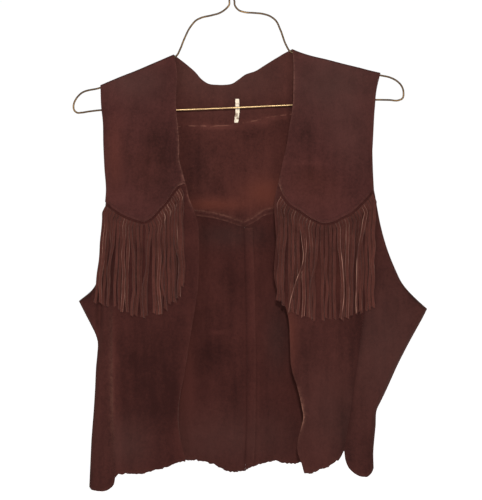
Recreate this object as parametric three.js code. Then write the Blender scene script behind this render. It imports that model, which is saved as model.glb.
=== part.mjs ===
// A suede fringe vest hanging open on a wire hanger.
// Millimetres, +Z up, the front faces -Y. The origin is the inside top of the hook.
// "right" and "left" are the wearer's: right is X < 0.
import * as THREE from 'three';

// ---------------------------------------------------------------- driving sizes
const SUEDE = 1.3;            // wall of every suede panel
const SEAM = 0.3;             // free gap where two pieces meet
const SHOULDER_BEND = 3.4;    // outer radius of the cloth where it lies over the wire
const SHOULDER_FALL = 60;     // height below the wire in which the cloth reaches its hanging depth
const SHOULDER_LEAN = 0.07;   // how fast it leaves the wire before that
const YOKE_PROUD = 3.5;       // front yoke face in front of the lower front's face
const LAP = { height: 8, edgeDrop: 1, edgeIn: 4.5, seamDrop: 2.5, seamIn: 0.4 };  // behind the yoke
const SIDE_ROUND_BACK = 16;   // width of the soft turn at the side, on the back
const SIDE_ROUND_FRONT = 9;   // width of the soft turn at the side, on the front
const UNDERARM_BLEND = 42;    // height above the underarm in which that turn opens out
const BACK_FLAT = 0.6;        // share of the back, from its centre, that stays flat above that

const STRIP = { near: 1.7, far: 0.5, top: 7, bottom: 1.5 };    // fringe backing strip
const STRAND = { width: 3.7, gap: 0.7, thickness: 1.1 };       // one cut fringe strand
const LAYER = [1.9, 4.9, 8.6];                                 // how far each layer hangs out
const ROOT = { grip: 1.15, bend: 3.2, drop: 15, plumb: 32, turn: 12 };  // a strand's first stretch
const SWAY = [0.75, 0.95, 1.05];                               // sideways, by thirds of the length
const TWIST = 9;                                               // degrees, an ordinary strand's most
const UNEVEN = 1.6;                                            // how unevenly the tips are cut

const ALLOWANCE = { thickness: 1.1, lift: 0.45, height: 6, width: 11, hem: -694 };
const TAPE = { x: 6.6, z: -231, width: 5.2, height: 31, slant: 1.4, thickness: 1.0 };

const WIRE = 2.5;             // hanger wire diameter
const WIRE_SIDES = 8;
const HOOK = {
  radius: 22, tipAngle: 200, stemAngle: -35, step: 23.5, stem: -64, neckTop: -68, neckBottom: -82,
  turns: 2.5,
};

// ---------------------------------------------------------------- outlines, [x, z]
// Shoulder lines, neck end first.
const SHOULDER_RIGHT = [
  [-76, -158], [-83, -161], [-104, -170], [-125, -179], [-145.5, -187], [-161, -193.5],
  [-171.5, -198],
];
const SHOULDER_LEFT = [
  [78.5, -151], [87, -154.5], [102.5, -159.5], [123.5, -164.5], [144.5, -170], [165, -175],
  [180.5, -179], [193.5, -182],
];
const NECK_BACK = [
  [-76, -158], [-68, -164], [-59, -171], [-48, -180.5], [-39, -190.5], [-31, -195.5],
  [-19.5, -197], [-9, -197], [0, -195.5], [8, -190.5], [17, -184], [31, -179], [41.5, -172.5],
  [58.5, -162], [71.5, -154.5], [78.5, -151],
];

// Front yokes: front edge, armhole edge, pointed lower edge from the front to the armhole.
const YOKE_FRONT_RIGHT = [
  [-76, -158], [-73, -171], [-72.5, -231], [-70, -254.5], [-68.5, -276.5], [-68, -297.5],
  [-65, -309], [-60, -327],
];
const YOKE_ARM_RIGHT = [
  [-171.5, -198], [-170, -228.5], [-168, -244], [-167, -275], [-165.5, -306.5], [-163.5, -337.5],
  [-164.5, -350.5],
];
const YOKE_LOW_RIGHT = [
  [-60, -327], [-67.5, -329], [-78.5, -341], [-85, -350.5], [-94.5, -360.5], [-104, -371],
  [-113.5, -376.5], [-129, -372.5], [-145, -365], [-164.5, -350.5],
];
const YOKE_FRONT_LEFT = [
  [78.5, -151], [80, -166], [80, -196], [79, -223], [77, -239], [74, -255.5], [71, -276.5],
  [65.5, -300], [60, -327],
];
const YOKE_ARM_LEFT = [
  [193.5, -182], [188, -205], [185.5, -228.5], [183, -270], [181.5, -302.5], [183, -335],
];
const YOKE_LOW_LEFT = [
  [60, -327], [67.5, -344], [76.5, -354.5], [88.5, -362], [102.5, -371.5], [116.5, -377.5],
  [130, -376.5], [143, -370], [153.5, -365], [161, -358.5], [173, -346.5], [183, -335],
];

// Lower fronts: front edge, side seam, hem from the front edge to the seam.
const EDGE_RIGHT = [
  [-60, -327], [-56.5, -343], [-49.5, -361], [-44, -379], [-43, -400], [-43, -432.5], [-44, -461],
  [-48, -489.5], [-55, -531.5], [-62, -575.5], [-68, -605.5], [-70, -631.5], [-67.5, -655],
  [-63, -674.5], [-60, -689],
];
const EDGE_LEFT = [
  [60, -327], [57, -337.5], [57, -400], [57, -460], [62.5, -474], [70, -488.5], [73.5, -504],
  [75, -532.5], [77.5, -567.5], [84.5, -590], [90.5, -616], [92.5, -629], [89.5, -643],
  [85.5, -658.5], [84.5, -670.5], [90.5, -691], [93.5, -703],
];
const SEAM_RIGHT = [
  [-160.5, -347.5], [-158, -363.5], [-156, -393.5], [-155.5, -478], [-155.5, -543], [-155, -608],
  [-153.5, -660], [-151.5, -708],
];
const SEAM_LEFT = [
  [180, -335], [179, -367.5], [177.5, -413], [175, -465], [172, -489.5], [169.5, -506.5],
  [165.5, -536.5], [162.5, -561], [159, -584.5], [153.5, -626], [148.5, -652], [145.5, -673],
];
const HEM_FRONT_RIGHT = [
  [-60, -689], [-73, -691], [-84.5, -695], [-96, -697.5], [-108, -700.5], [-115.5, -703],
  [-132.5, -703], [-147, -704], [-151.5, -708],
];
const HEM_FRONT_LEFT = [
  [93.5, -703], [106.5, -700.5], [114.5, -696.5], [126, -692.5], [134, -687.5], [139, -683.5],
  [145.5, -673],
];

// The lower back: armhole edges on the front and back, the side, centre seam and hems.
const WING_ARM_RIGHT = [
  [-163.5, -346.5], [-165.5, -369], [-167, -389.5], [-168.5, -413], [-171, -435], [-175.5, -457],
  [-183.5, -467.5], [-199.5, -479.5],
];
const WING_ARM_LEFT = [
  [184, -333.5], [186, -344], [188, -356], [193.5, -384.5], [202.5, -415.5], [212, -439],
  [219.5, -454.5], [232.5, -470], [241, -478], [254, -489.5],
];
const BACK_ARM_RIGHT = [
  [-171.5, -198], [-169.5, -218], [-167, -257], [-165.5, -296], [-164, -335], [-164, -353],
  [-166, -387], [-168.5, -419.5], [-173, -445.5], [-180.5, -462.5], [-199.5, -479.5],
];
const BACK_ARM_LEFT = [
  [193.5, -182], [188.5, -205], [186.5, -228.5], [183.5, -259.5], [183.5, -283], [184.5, -315.5],
  [186.5, -345.5], [189, -367.5], [195, -393.5], [205, -423.5], [216, -450], [230, -469.5],
  [241, -479], [254, -489.5],
];
const SIDE_RIGHT = [
  [-199.5, -479.5], [-192.5, -493.5], [-184.5, -509], [-177.5, -523.5], [-175, -532.5],
  [-175.5, -548], [-177, -564], [-178.5, -595], [-180.5, -626], [-183, -657.5], [-184.5, -688.5],
  [-186, -721],
];
const SIDE_LEFT = [
  [254, -489.5], [248, -501.5], [239.5, -517], [231, -532.5], [223, -548], [215, -564],
  [208, -579.5], [201, -595], [193.5, -610.5], [189, -619.5], [187, -642], [185.5, -657.5],
  [184, -677], [184.5, -696.5],
];
const BACK_SEAM = [
  [-164, -353], [-132.5, -356.5], [-93.5, -359], [-50, -362], [-26.5, -365], [-6.5, -370],
  [6.5, -374.5], [15.5, -377], [23.5, -373.5], [32, -369], [40.5, -363], [54.5, -359],
  [95, -354.5], [140.5, -348], [186.5, -345.5],
];
const CENTRE = [
  [15.5, -377], [17.5, -426], [19.5, -517], [20, -608], [19, -660], [17, -703],
];
const HEM_WING_RIGHT = [
  [-186, -721], [-182.5, -724.5], [-177, -725.5], [-162.5, -725], [-158, -722.5], [-154, -718.5],
  [-151.5, -708],
];
const HEM_WING_LEFT = [
  [184.5, -696.5], [180.5, -703.5], [175.5, -707.5], [167.5, -707], [160, -703.5], [152, -696.5],
  [148, -688.5], [145.5, -673],
];
const HEM_BACK_RIGHT = [
  [-186, -721], [-171.5, -713.5], [-152, -701.5], [-119.5, -692], [-80.5, -685.5],
  [-54.5, -685.5], [-41.5, -687.5], [-34, -690], [-26, -694], [-18, -697.5], [-6.5, -703],
  [5, -704.5], [17, -703],
];
const HEM_BACK_LEFT = [
  [17, -703], [21, -700.5], [28.5, -696.5], [44, -692.5], [56, -690], [71.5, -692.5],
  [87, -692.5], [108, -683.5], [127.5, -673], [145.5, -666.5], [161, -678], [174, -690],
  [184.5, -696.5],
];

// Hanger wire between the hook, the raised neck and the turned ends.
const WIRE_BELL_RIGHT = [
  [-3.5, -88], [-3.5, -92.5], [-9, -99.5], [-16, -104], [-26, -107], [-40.5, -110.5],
  [-46.5, -113.5], [-53, -120.5], [-62.5, -138.5], [-67.5, -151], [-72.5, -160],
];
const WIRE_BELL_LEFT = [
  [3, -88], [3.5, -93.5], [9, -100.5], [16.5, -103], [29, -104], [41.5, -105.5], [50, -108.5],
  [57, -114], [63, -126], [70.5, -146], [75, -153.5],
];
const WIRE_END_RIGHT = [
  [-197.5, -209.5], [-203.5, -216.5], [-206.5, -224.5], [-205.5, -231], [-202, -234],
  [-196.5, -234], [-187, -232.5],
];
const WIRE_END_LEFT = [
  [205.5, -188], [214.5, -192.5], [220.5, -198.5], [223.5, -207.5], [222, -215.5], [216.5, -218],
  [205.5, -217.5],
];

// Where the fringe ends.
const FRINGE_ENDS_RIGHT = [
  [-179.5, -480.5], [-166.5, -482.5], [-148, -487], [-139, -492.5], [-126, -497], [-113, -499],
  [-102.5, -495.5], [-95, -497], [-85, -480.5], [-76.5, -479.5], [-73, -470], [-62.5, -448],
];
const FRINGE_ENDS_LEFT = [
  [67.5, -478], [76.5, -493.5], [88.5, -495.5], [99, -499], [110, -504], [126, -501.5],
  [143, -501.5], [156, -495], [169, -491.5], [177, -486],
];

// How the fringe hangs: its reach along the yoke, how far its two ends fan out, and the strands
// that hang in front of the rest, with their sideways drift on the way down and their twist.
const FRINGE_RIGHT = {
  from: -162, to: -68, count: 29, fanOut: -13, fanIn: 4,
  forward: [
    { strand: 4, third: -3, twoThirds: -5, end: -4, twist: 30 },
    { strand: 9, third: 4, twoThirds: 5, end: 2, twist: -35 },
    { strand: 14, third: -4, twoThirds: -9, end: -8, twist: 40 },
    { strand: 19, third: 2, twoThirds: -2, end: 3, twist: -50 },
    { strand: 25, third: -2, twoThirds: 3, end: 0, twist: 45 },
  ],
};
const FRINGE_LEFT = {
  from: 66, to: 180.5, count: 32, fanOut: -2, fanIn: -1.2,
  forward: [
    { strand: 3, third: -3, twoThirds: -5, end: -4, twist: 30 },
    { strand: 8, third: 4, twoThirds: -6, end: -15, twist: 55 },
    { strand: 13, third: -4, twoThirds: -9, end: -8, twist: 40 },
    { strand: 18, third: 3, twoThirds: 6, end: 3, twist: -40 },
    { strand: 23, third: -2, twoThirds: -3, end: -3, twist: -30 },
    { strand: 27, third: -7, twoThirds: -10, end: -9, twist: 50 },
  ],
};

// ---------------------------------------------------------------- depths, a row per height
// Outer face of the fronts at each height. -Y is forward.
const FRONT_DEPTH_RIGHT = [
  { z: -205, edge: -8, middle: -9, seam: -7, side: -5 },
  { z: -257, edge: -14, middle: -15, seam: -11, side: -7 },
  { z: -309, edge: -17, middle: -18, seam: -13, side: -8 },
  { z: -348, edge: -19, middle: -20, seam: -14, side: -7 },
  { z: -413, edge: -19, middle: -22, seam: -14, side: -5 },
  { z: -480, edge: -17, middle: -22, seam: -15, side: -3 },
  { z: -545, edge: -17, middle: -21, seam: -16, side: -3 },
  { z: -610, edge: -20, middle: -20, seam: -15, side: -3 },
  { z: -720, edge: -16, middle: -20, seam: -14, side: -2 },
];
const FRONT_DEPTH_LEFT = [
  { z: -199, edge: -8, middle: -10, seam: -7, side: -4 },
  { z: -257, edge: -14, middle: -15, seam: -11, side: -6 },
  { z: -309, edge: -16, middle: -18, seam: -13, side: -7 },
  { z: -348, edge: -18, middle: -21, seam: -15, side: -8 },
  { z: -413, edge: -19, middle: -25, seam: -18, side: -8 },
  { z: -480, edge: -17, middle: -26, seam: -20, side: -5 },
  { z: -545, edge: -19, middle: -26, seam: -19, side: -2 },
  { z: -610, edge: -21, middle: -23, seam: -17, side: -3 },
  { z: -660, edge: -22, middle: -24, seam: -16, side: -4 },
  { z: -720, edge: -19, middle: -22, seam: -15, side: -4 },
];
// Outer face of the back at its centre, three quarters of the way out, and its armhole.
const BACK_DEPTH = [
  { z: -160, centre: 6, out: 6, side: 4 },
  { z: -205, centre: 9, out: 8, side: 5 },
  { z: -257, centre: 12, out: 11, side: 7 },
  { z: -309, centre: 14, out: 13, side: 8 },
  { z: -374, centre: 16, out: 15, side: 8 },
  { z: -480, centre: 17, out: 18, side: 5 },
  { z: -608, centre: 19, out: 19, side: 4 },
  { z: -720, centre: 20, out: 17, side: 3 },
];
// Large soft folds from (x0, z0) down to (x1, z1). A positive depth is towards +Y.
const FOLDS = [
  { on: 'front', x0: -171, z0: -445, x1: -173, z1: -535, half: 4, depth: 6 },
  { on: 'front', x0: 101, z0: -500, x1: 96, z1: -600, half: 9, depth: 3 },
  { on: 'front', x0: 118, z0: -520, x1: 128, z1: -700, half: 12, depth: -3 },
  { on: 'front', x0: 146, z0: -455, x1: 150, z1: -640, half: 10, depth: 3 },
  { on: 'front', x0: 205, z0: -420, x1: 178, z1: -640, half: 13, depth: -3 },
  { on: 'front', x0: -72, z0: -470, x1: -88, z1: -660, half: 14, depth: 3 },
  { on: 'front', x0: -108, z0: -480, x1: -118, z1: -700, half: 14, depth: -2.5 },
  { on: 'front', x0: -136, z0: -560, x1: -140, z1: -700, half: 9, depth: 2.5 },
  { on: 'back', x0: -62, z0: -400, x1: -78, z1: -690, half: 16, depth: 3 },
  { on: 'back', x0: -118, z0: -420, x1: -126, z1: -680, half: 16, depth: -3 },
  { on: 'back', x0: 84, z0: -390, x1: 96, z1: -670, half: 15, depth: 3 },
  { on: 'back', x0: 150, z0: -400, x1: 140, z1: -650, half: 15, depth: -3 },
  { on: 'back', x0: -22, z0: -480, x1: -30, z1: -700, half: 10, depth: -2.5 },
  { on: 'back', x0: 46, z0: -520, x1: 40, z1: -690, half: 9, depth: 2.5 },
];

// ---------------------------------------------------------------- small helpers
const lerp = (a, b, t) => a + (b - a) * t;
const clamp01 = (t) => Math.min(1, Math.max(0, t));
const ease = (t) => { const c = clamp01(t); return c * c * (3 - 2 * c); };
const up = (line, dz) => line.map(([x, z]) => [x, z + dz]);
const across = (line, dx) => line.map(([x, z]) => [x + dx, z]);

// x of an outline at height z, for outlines that run down; z at x, for ones that run across.
function cross(line, value, given, wanted) {
  const rising = line[line.length - 1][given] > line[0][given];
  const sorted = rising ? line : [...line].reverse();
  if (value <= sorted[0][given]) return sorted[0][wanted];
  for (let i = 1; i < sorted.length; i += 1) {
    const [a, b] = [sorted[i - 1], sorted[i]];
    if (value <= b[given]) {
      const t = (value - a[given]) / Math.max(1e-6, b[given] - a[given]);
      return lerp(a[wanted], b[wanted], t);
    }
  }
  return sorted[sorted.length - 1][wanted];
}
const xAt = (line, z) => cross(line, z, 1, 0);
const zAt = (line, x) => cross(line, x, 0, 1);

// Points at the given fractions of an outline's length.
function along(line, fractions) {
  const reach = [0];
  for (let i = 1; i < line.length; i += 1) {
    reach.push(reach[i - 1] + Math.hypot(line[i][0] - line[i - 1][0], line[i][1] - line[i - 1][1]));
  }
  const total = reach[reach.length - 1];
  return fractions.map((f) => {
    const goal = clamp01(f) * total;
    let i = 1;
    while (i < line.length - 1 && reach[i] < goal) i += 1;
    const t = (goal - reach[i - 1]) / Math.max(1e-6, reach[i] - reach[i - 1]);
    return [lerp(line[i - 1][0], line[i][0], t), lerp(line[i - 1][1], line[i][1], t)];
  });
}
const steps = (n) => Array.from({ length: n + 1 }, (_, i) => i / n);

// A table's column at height z, as a smooth curve through its rows.
function column(table, z, name) {
  if (z >= table[0].z) return table[0][name];
  for (let i = 1; i < table.length; i += 1) {
    if (z >= table[i].z) {
      const t = (table[i - 1].z - z) / (table[i - 1].z - table[i].z);
      const slope = (k) => {
        const a = table[Math.max(0, k - 1)];
        const b = table[Math.min(table.length - 1, k + 1)];
        return (b[name] - a[name]) / (b.z - a.z);
      };
      const span = table[i].z - table[i - 1].z;
      const [p, q] = [table[i - 1][name], table[i][name]];
      const [m, n] = [slope(i - 1) * span, slope(i) * span];
      const t2 = t * t;
      const t3 = t2 * t;
      return (2 * t3 - 3 * t2 + 1) * p + (t3 - 2 * t2 + t) * m
        + (3 * t2 - 2 * t3) * q + (t3 - t2) * n;
    }
  }
  return table[table.length - 1][name];
}

// ---------------------------------------------------------------- the hanging surfaces
const SHOULDERS = [...[...SHOULDER_RIGHT].reverse(), ...SHOULDER_LEFT];
const SIDES = {
  right: {
    edge: [...YOKE_FRONT_RIGHT, ...EDGE_RIGHT.slice(1)],
    seam: [...YOKE_ARM_RIGHT.slice(0, -1), ...SEAM_RIGHT],
    side: [...YOKE_ARM_RIGHT.slice(0, -1), ...WING_ARM_RIGHT, ...SIDE_RIGHT.slice(1)],
    back: [...BACK_ARM_RIGHT, ...SIDE_RIGHT.slice(1)],
    underarm: SIDE_RIGHT[0][1],
    depth: FRONT_DEPTH_RIGHT,
  },
  left: {
    edge: [...YOKE_FRONT_LEFT, ...EDGE_LEFT.slice(1)],
    seam: [...YOKE_ARM_LEFT.slice(0, -1), ...SEAM_LEFT],
    side: [...YOKE_ARM_LEFT.slice(0, -1), ...WING_ARM_LEFT, ...SIDE_LEFT.slice(1)],
    back: [...BACK_ARM_LEFT, ...SIDE_LEFT.slice(1)],
    underarm: SIDE_LEFT[0][1],
    depth: FRONT_DEPTH_LEFT,
  },
};

// A fold fades in over its first part and dies out a little past its lower end.
function folds(which, x, z) {
  let sum = 0;
  for (const { on, x0, z0, x1, z1, half, depth } of FOLDS) {
    if (on === which) {
      const t = (z - z0) / (z1 - z0);
      const off = (x - lerp(x0, x1, t)) / half;
      const fade = ease(t / 0.3) * ease((1 - t) / 0.25 + 0.35);
      sum += t > 0 && t < 1.4 ? depth * fade * Math.exp(-off * off) : 0;
    }
  }
  return sum;
}

// Over the wire the cloth is an arc, then it falls away to its hanging depth.
function overWire(x, z, hanging) {
  const down = zAt(SHOULDERS, x) - z;
  if (down < SHOULDER_BEND) {
    const rise = Math.max(0, SHOULDER_BEND - Math.max(0, down)) / SHOULDER_BEND;
    return Math.max(SEAM / 2, SHOULDER_BEND * Math.sqrt(Math.max(0, 1 - rise * rise)));
  }
  const fall = down - SHOULDER_BEND;
  return lerp(SHOULDER_BEND + SHOULDER_LEAN * fall, hanging, ease(fall / SHOULDER_FALL));
}

// The soft turn at the side: from the flat of a panel round to the side's own depth.
function turn(flat, at, distance, width) {
  const s = clamp01(distance / width);
  return lerp(at, flat, Math.sqrt(1 - (1 - s) * (1 - s)));
}

function frontBase(name, x, z, proud = 0) {
  const s = SIDES[name];
  const [xe, xs] = [xAt(s.edge, z), xAt(s.seam, z)];
  const [ye, ym, ys] = ['edge', 'middle', 'seam'].map((key) => column(s.depth, z, key));
  const t = clamp01((x - xe) / (xs - xe));
  const bow = ye * (1 - t) * (1 - 2 * t) + 4 * ym * t * (1 - t) + ys * t * (2 * t - 1);
  return -overWire(x, z, proud - bow);
}

function frontDepth(name, x, z) {
  const s = SIDES[name];
  const base = frontBase(name, x, z) + folds('front', x, z);
  const toSide = Math.abs(xAt(s.side, z) - x);
  const round = turn(base, column(s.depth, z, 'side'), toSide, SIDE_ROUND_FRONT);
  return lerp(round, base, ease((z - s.underarm) / UNDERARM_BLEND));
}

function backDepth(name, x, z) {
  const s = SIDES[name];
  const xc = xAt(CENTRE, z);
  const xo = xAt(s.back, z);
  const [yc, yq, ys] = ['centre', 'out', 'side'].map((key) => column(BACK_DEPTH, z, key));
  const t = clamp01((x - xc) / (xo - xc));
  const flat = lerp(yc, yq, ease(t / 0.75)) + folds('back', x, z);
  const far = Math.max(0, (t - BACK_FLAT) / (1 - BACK_FLAT));
  const open = lerp(flat, ys, far * far);
  const round = turn(flat, column(s.depth, z, 'side'), Math.abs(xo - x), SIDE_ROUND_BACK);
  return overWire(x, z, lerp(round, open, ease((z - s.underarm) / UNDERARM_BLEND)));
}

// ---------------------------------------------------------------- cloth solids
const vest = new THREE.Group();
vest.name = 'fringe_vest_on_hanger';

const COLOURS = {
  yoke: 0x5b3a34, suede: 0x53322c, fringe: 0x5e3d33, inside: 0x4f2f2b, tape: 0xe4dac6,
  wire: 0xb9975b,
};
function add(name, positions, indices, colour, metal = 0, rough = 0.95) {
  const geometry = new THREE.BufferGeometry();
  geometry.setAttribute('position', new THREE.Float32BufferAttribute(positions.flat(), 3));
  geometry.setIndex(indices);
  geometry.computeVertexNormals();
  const material = new THREE.MeshStandardMaterial({
    color: COLOURS[colour], metalness: metal, roughness: rough,
  });
  const mesh = new THREE.Mesh(geometry, material);
  mesh.name = name;
  vest.add(mesh);
}

// A four-sided patch of [x, z] filled in between its four edges, as rows from the top down.
function patch(top, bottom, left, right, uList, vList) {
  const n = uList.length - 1;
  const m = vList.length - 1;
  const [sideA, sideB] = [[...left], [...right]];
  [sideA[0], sideA[m], sideB[0], sideB[m]] = [top[0], bottom[0], top[n], bottom[n]];
  return vList.map((v, j) => uList.map((u, i) => [0, 1].map((k) => {
    const corners = (1 - u) * (1 - v) * top[0][k] + u * (1 - v) * top[n][k]
      + (1 - u) * v * bottom[0][k] + u * v * bottom[n][k];
    return (1 - v) * top[i][k] + v * bottom[i][k]
      + (1 - u) * sideA[j][k] + u * sideB[j][k] - corners;
  })));
}

// A stretch of an outline between two heights.
function between(line, zTop, zBottom) {
  const inside = line.filter(([, z]) => z < zTop - 0.01 && z > zBottom + 0.01);
  return [[xAt(line, zTop), zTop], ...inside, [xAt(line, zBottom), zBottom]];
}

// One piece of cloth: grids of points that may share a column, made solid along their normals.
class Cloth {
  constructor() {
    this.points = [];
    this.quads = [];
  }

  grid(rows, depth, shared = () => undefined) {
    const ids = rows.map((row, j) => row.map(([x, z], i) => {
      const known = shared(i, j);
      if (known !== undefined) return known;
      this.points.push(new THREE.Vector3(x, depth(x, z), z));
      return this.points.length - 1;
    }));
    for (let j = 0; j + 1 < ids.length; j += 1) {
      for (let i = 0; i + 1 < ids[j].length; i += 1) {
        this.quads.push([ids[j][i], ids[j + 1][i], ids[j + 1][i + 1], ids[j][i + 1]]);
      }
    }
    return ids;
  }

  // forward is -1 where the first quad's outer face looks along -Y, 1 where along +Y.
  solid(forward, outer, inner) {
    const normals = this.points.map(() => new THREE.Vector3());
    const quadNormal = ([a, b, c, d]) => {
      const p = new THREE.Vector3().subVectors(this.points[c], this.points[a]);
      const q = new THREE.Vector3().subVectors(this.points[d], this.points[b]);
      return p.cross(q);
    };
    const flip = Math.sign(quadNormal(this.quads[0]).y) !== Math.sign(forward);
    const quads = this.quads.map((q) => (flip ? [...q].reverse() : q));
    for (const q of quads) {
      const n = quadNormal(q);
      q.forEach((id) => normals[id].add(n));
    }
    normals.forEach((n, id) => {
      const p = this.points[id];
      const rise = 1 - (zAt(SHOULDERS, p.x) - p.z) / SHOULDER_BEND;
      if (rise > 0) n.set(0, forward * Math.sqrt(Math.max(0, 1 - rise * rise)), rise);
      n.normalize();
    });
    const move = (by) => this.points.map((p, id) => {
      const q = p.clone().addScaledVector(normals[id], by);
      return [q.x, q.y, q.z];
    });
    const count = this.points.length;
    const indices = [];
    const open = new Map();
    for (const [a, b, c, d] of quads) {
      indices.push(a, b, c, a, c, d);
      indices.push(a + count, c + count, b + count, a + count, d + count, c + count);
      for (const [s, t] of [[a, b], [b, c], [c, d], [d, a]]) {
        if (!open.delete(`${t}-${s}`)) open.set(`${s}-${t}`, [s, t]);
      }
    }
    for (const [s, t] of open.values()) {
      indices.push(t, s, s + count, t, s + count, t + count);
    }
    return [[...move(outer), ...move(inner)], indices];
  }
}

// ---------------------------------------------------------------- front yokes
const YOKE_ROWS = [0, 0.0055, 0.019, 0.05, 0.1, 0.17, 0.26, 0.36, 0.46, 0.56, 0.66, 0.76, 0.86,
  0.93, 1];
function frontYoke(name, shoulder, front, low, arm) {
  const columns = steps(14);
  const rows = patch(along(shoulder, columns), along(low, columns), along(front, YOKE_ROWS),
    along(arm, YOKE_ROWS), columns, YOKE_ROWS);
  const cloth = new Cloth();
  cloth.grid(rows, (x, z) => frontBase(name, x, z, YOKE_PROUD));
  add(`front_yoke_${name}`, ...cloth.solid(-1, 0, -SUEDE), 'yoke');
}

// ---------------------------------------------------------------- lower fronts
function frontLower(name, low, edge, seam, hem, inward) {
  const columns = steps(14);
  const heights = steps(20);
  const top = up(low, LAP.height);
  top[0] = [edge[0][0] - inward * LAP.edgeIn, edge[0][1] + LAP.height - LAP.edgeDrop];
  top[top.length - 1] = [seam[0][0] + inward * LAP.seamIn,
    seam[0][1] + LAP.height - LAP.seamDrop];
  const joined = across([top[top.length - 1], ...seam], inward * (SEAM / 2));
  top[top.length - 1] = joined[0];
  const bottom = hem.map((p, i) => (i === hem.length - 1 ? joined[joined.length - 1] : p));
  const rows = patch(along(top, columns), along(bottom, columns),
    along([top[0], ...edge], heights), along(joined, heights), columns, heights);
  const cloth = new Cloth();
  cloth.grid(rows, (x, z) => frontDepth(name, x, z));
  add(`front_lower_${name}`, ...cloth.solid(-1, 0, -SUEDE), 'suede');
}

// ---------------------------------------------------------------- back yoke
const BACK_COLUMNS = [0, 0.12, 0.24, 0.36, 0.48, 0.59, 0.69, 0.78, 0.85, 0.9, 0.935, 0.962,
  0.982, 0.995, 1];
const SEAM_POINT = BACK_SEAM.reduce((low, p) => (p[1] < low[1] ? p : low));
const halfRight = BACK_SEAM.filter(([x]) => x <= SEAM_POINT[0]).reverse();
const halfLeft = BACK_SEAM.filter(([x]) => x >= SEAM_POINT[0]);
const NECK_CORNER = [0.07, 0.2];   // close columns at a neck corner let the edge slip round the wire

function backYoke() {
  const low = [halfRight, halfLeft].map((line) => along(up(line, SEAM / 2), BACK_COLUMNS));
  const bottom = [...[...low[0]].reverse(), ...low[1].slice(1)];
  const nearest = (x) => bottom.reduce((best, p, i) => (
    Math.abs(p[0] - x) < Math.abs(bottom[best][0] - x) ? i : best), 0);
  const mix = (a, b, t) => [lerp(a[0], b[0], t), lerp(a[1], b[1], t)];
  const [neckA, neckB] = [NECK_BACK[0], NECK_BACK[NECK_BACK.length - 1]].map(([x]) => nearest(x));
  const [beforeB, cornerB] = [bottom[neckB - 1], bottom[neckB]];
  const [cornerA, afterA] = [bottom[neckA], bottom[neckA + 1]];
  bottom.splice(neckB, 0, ...NECK_CORNER.map((t) => mix(cornerB, beforeB, t)).reverse());
  bottom.splice(neckA + 1, 0, ...NECK_CORNER.map((t) => mix(cornerA, afterA, t)));
  const stops = [0, neckA, neckB + 2 * NECK_CORNER.length, bottom.length - 1];
  const top = [[...SHOULDER_RIGHT].reverse(), NECK_BACK, SHOULDER_LEFT].flatMap((line, k) => {
    const [from, to] = [bottom[stops[k]][0], bottom[stops[k + 1]][0]];
    const part = bottom.slice(stops[k], stops[k + 1] + 1);
    return along(line, part.map(([x]) => (x - from) / (to - from))).slice(k === 0 ? 0 : 1);
  });
  const columns = top.map(([x]) => (x - top[0][0]) / (top[top.length - 1][0] - top[0][0]));
  const [armA, armB] = [[BACK_ARM_RIGHT, bottom[0][1]],
    [BACK_ARM_LEFT, bottom[bottom.length - 1][1]]]
    .map(([line, z]) => along(between(line, line[0][1], z), YOKE_ROWS));
  const cloth = new Cloth();
  cloth.grid(patch(top, bottom, armA, armB, columns, YOKE_ROWS),
    (x, z) => backDepth(x < xAt(CENTRE, z) ? 'right' : 'left', x, z));
  add('back_yoke', ...cloth.solid(1, 0, -SUEDE), 'inside');
}

// ---------------------------------------------------------------- lower back, round the side
const WING_COLUMNS = [0, 0.02, 0.07, 0.14, 0.22, 0.31, 0.42, 0.55, 0.7, 0.85, 1];
function backLower(name, seamTop, hemBack, hemWing, seam, wingArm, backArm, side, outward) {
  const gap = outward * (SEAM / 2);
  const underarm = side[0];
  const [upper, lower] = [steps(7), steps(12)];
  const centre = across(CENTRE, gap);
  const sideSeam = across(seam, gap);
  const middle = [[xAt(centre, underarm[1]), underarm[1]], underarm];
  const chest = [underarm, [xAt(sideSeam, underarm[1]), underarm[1]]];
  const seamEnd = sideSeam[sideSeam.length - 1];
  const [top, hem] = [up(seamTop, -SEAM / 2), [...hemBack]];
  [top[0], hem[0]] = [[top[0][0] + gap, top[0][1]], [hem[0][0] + gap, hem[0][1]]];
  const armFrom = top[top.length - 1][1];
  const cloth = new Cloth();
  const backRows = [
    ...patch(along(top, BACK_COLUMNS), along(middle, BACK_COLUMNS),
      along(between(centre, top[0][1], underarm[1]), upper),
      along(between(backArm, armFrom, underarm[1]), upper), BACK_COLUMNS, upper).slice(0, -1),
    ...patch(along(middle, BACK_COLUMNS), along(hem, BACK_COLUMNS),
      along(between(centre, underarm[1], hem[0][1]), lower), along(side, lower),
      BACK_COLUMNS, lower),
  ];
  const backIds = cloth.grid(backRows, (x, z) => backDepth(name, x, z));
  const wingRows = [
    ...patch(along([wingArm[0], sideSeam[0]], WING_COLUMNS), along(chest, WING_COLUMNS),
      along(wingArm, upper), along(between(sideSeam, sideSeam[0][1], underarm[1]), upper),
      WING_COLUMNS, upper).slice(0, -1),
    ...patch(along(chest, WING_COLUMNS), along([...hemWing.slice(0, -1), seamEnd], WING_COLUMNS),
      along(side, lower), along(between(sideSeam, underarm[1], seamEnd[1]), lower),
      WING_COLUMNS, lower),
  ];
  const fold = BACK_COLUMNS.length - 1;
  cloth.grid(wingRows, (x, z) => frontDepth(name, x, z),
    (i, j) => (i === 0 && j >= upper.length - 1 ? backIds[j][fold] : undefined));
  add(`back_lower_${name}`, ...cloth.solid(1, 0, -SUEDE), 'suede');
}

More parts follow.
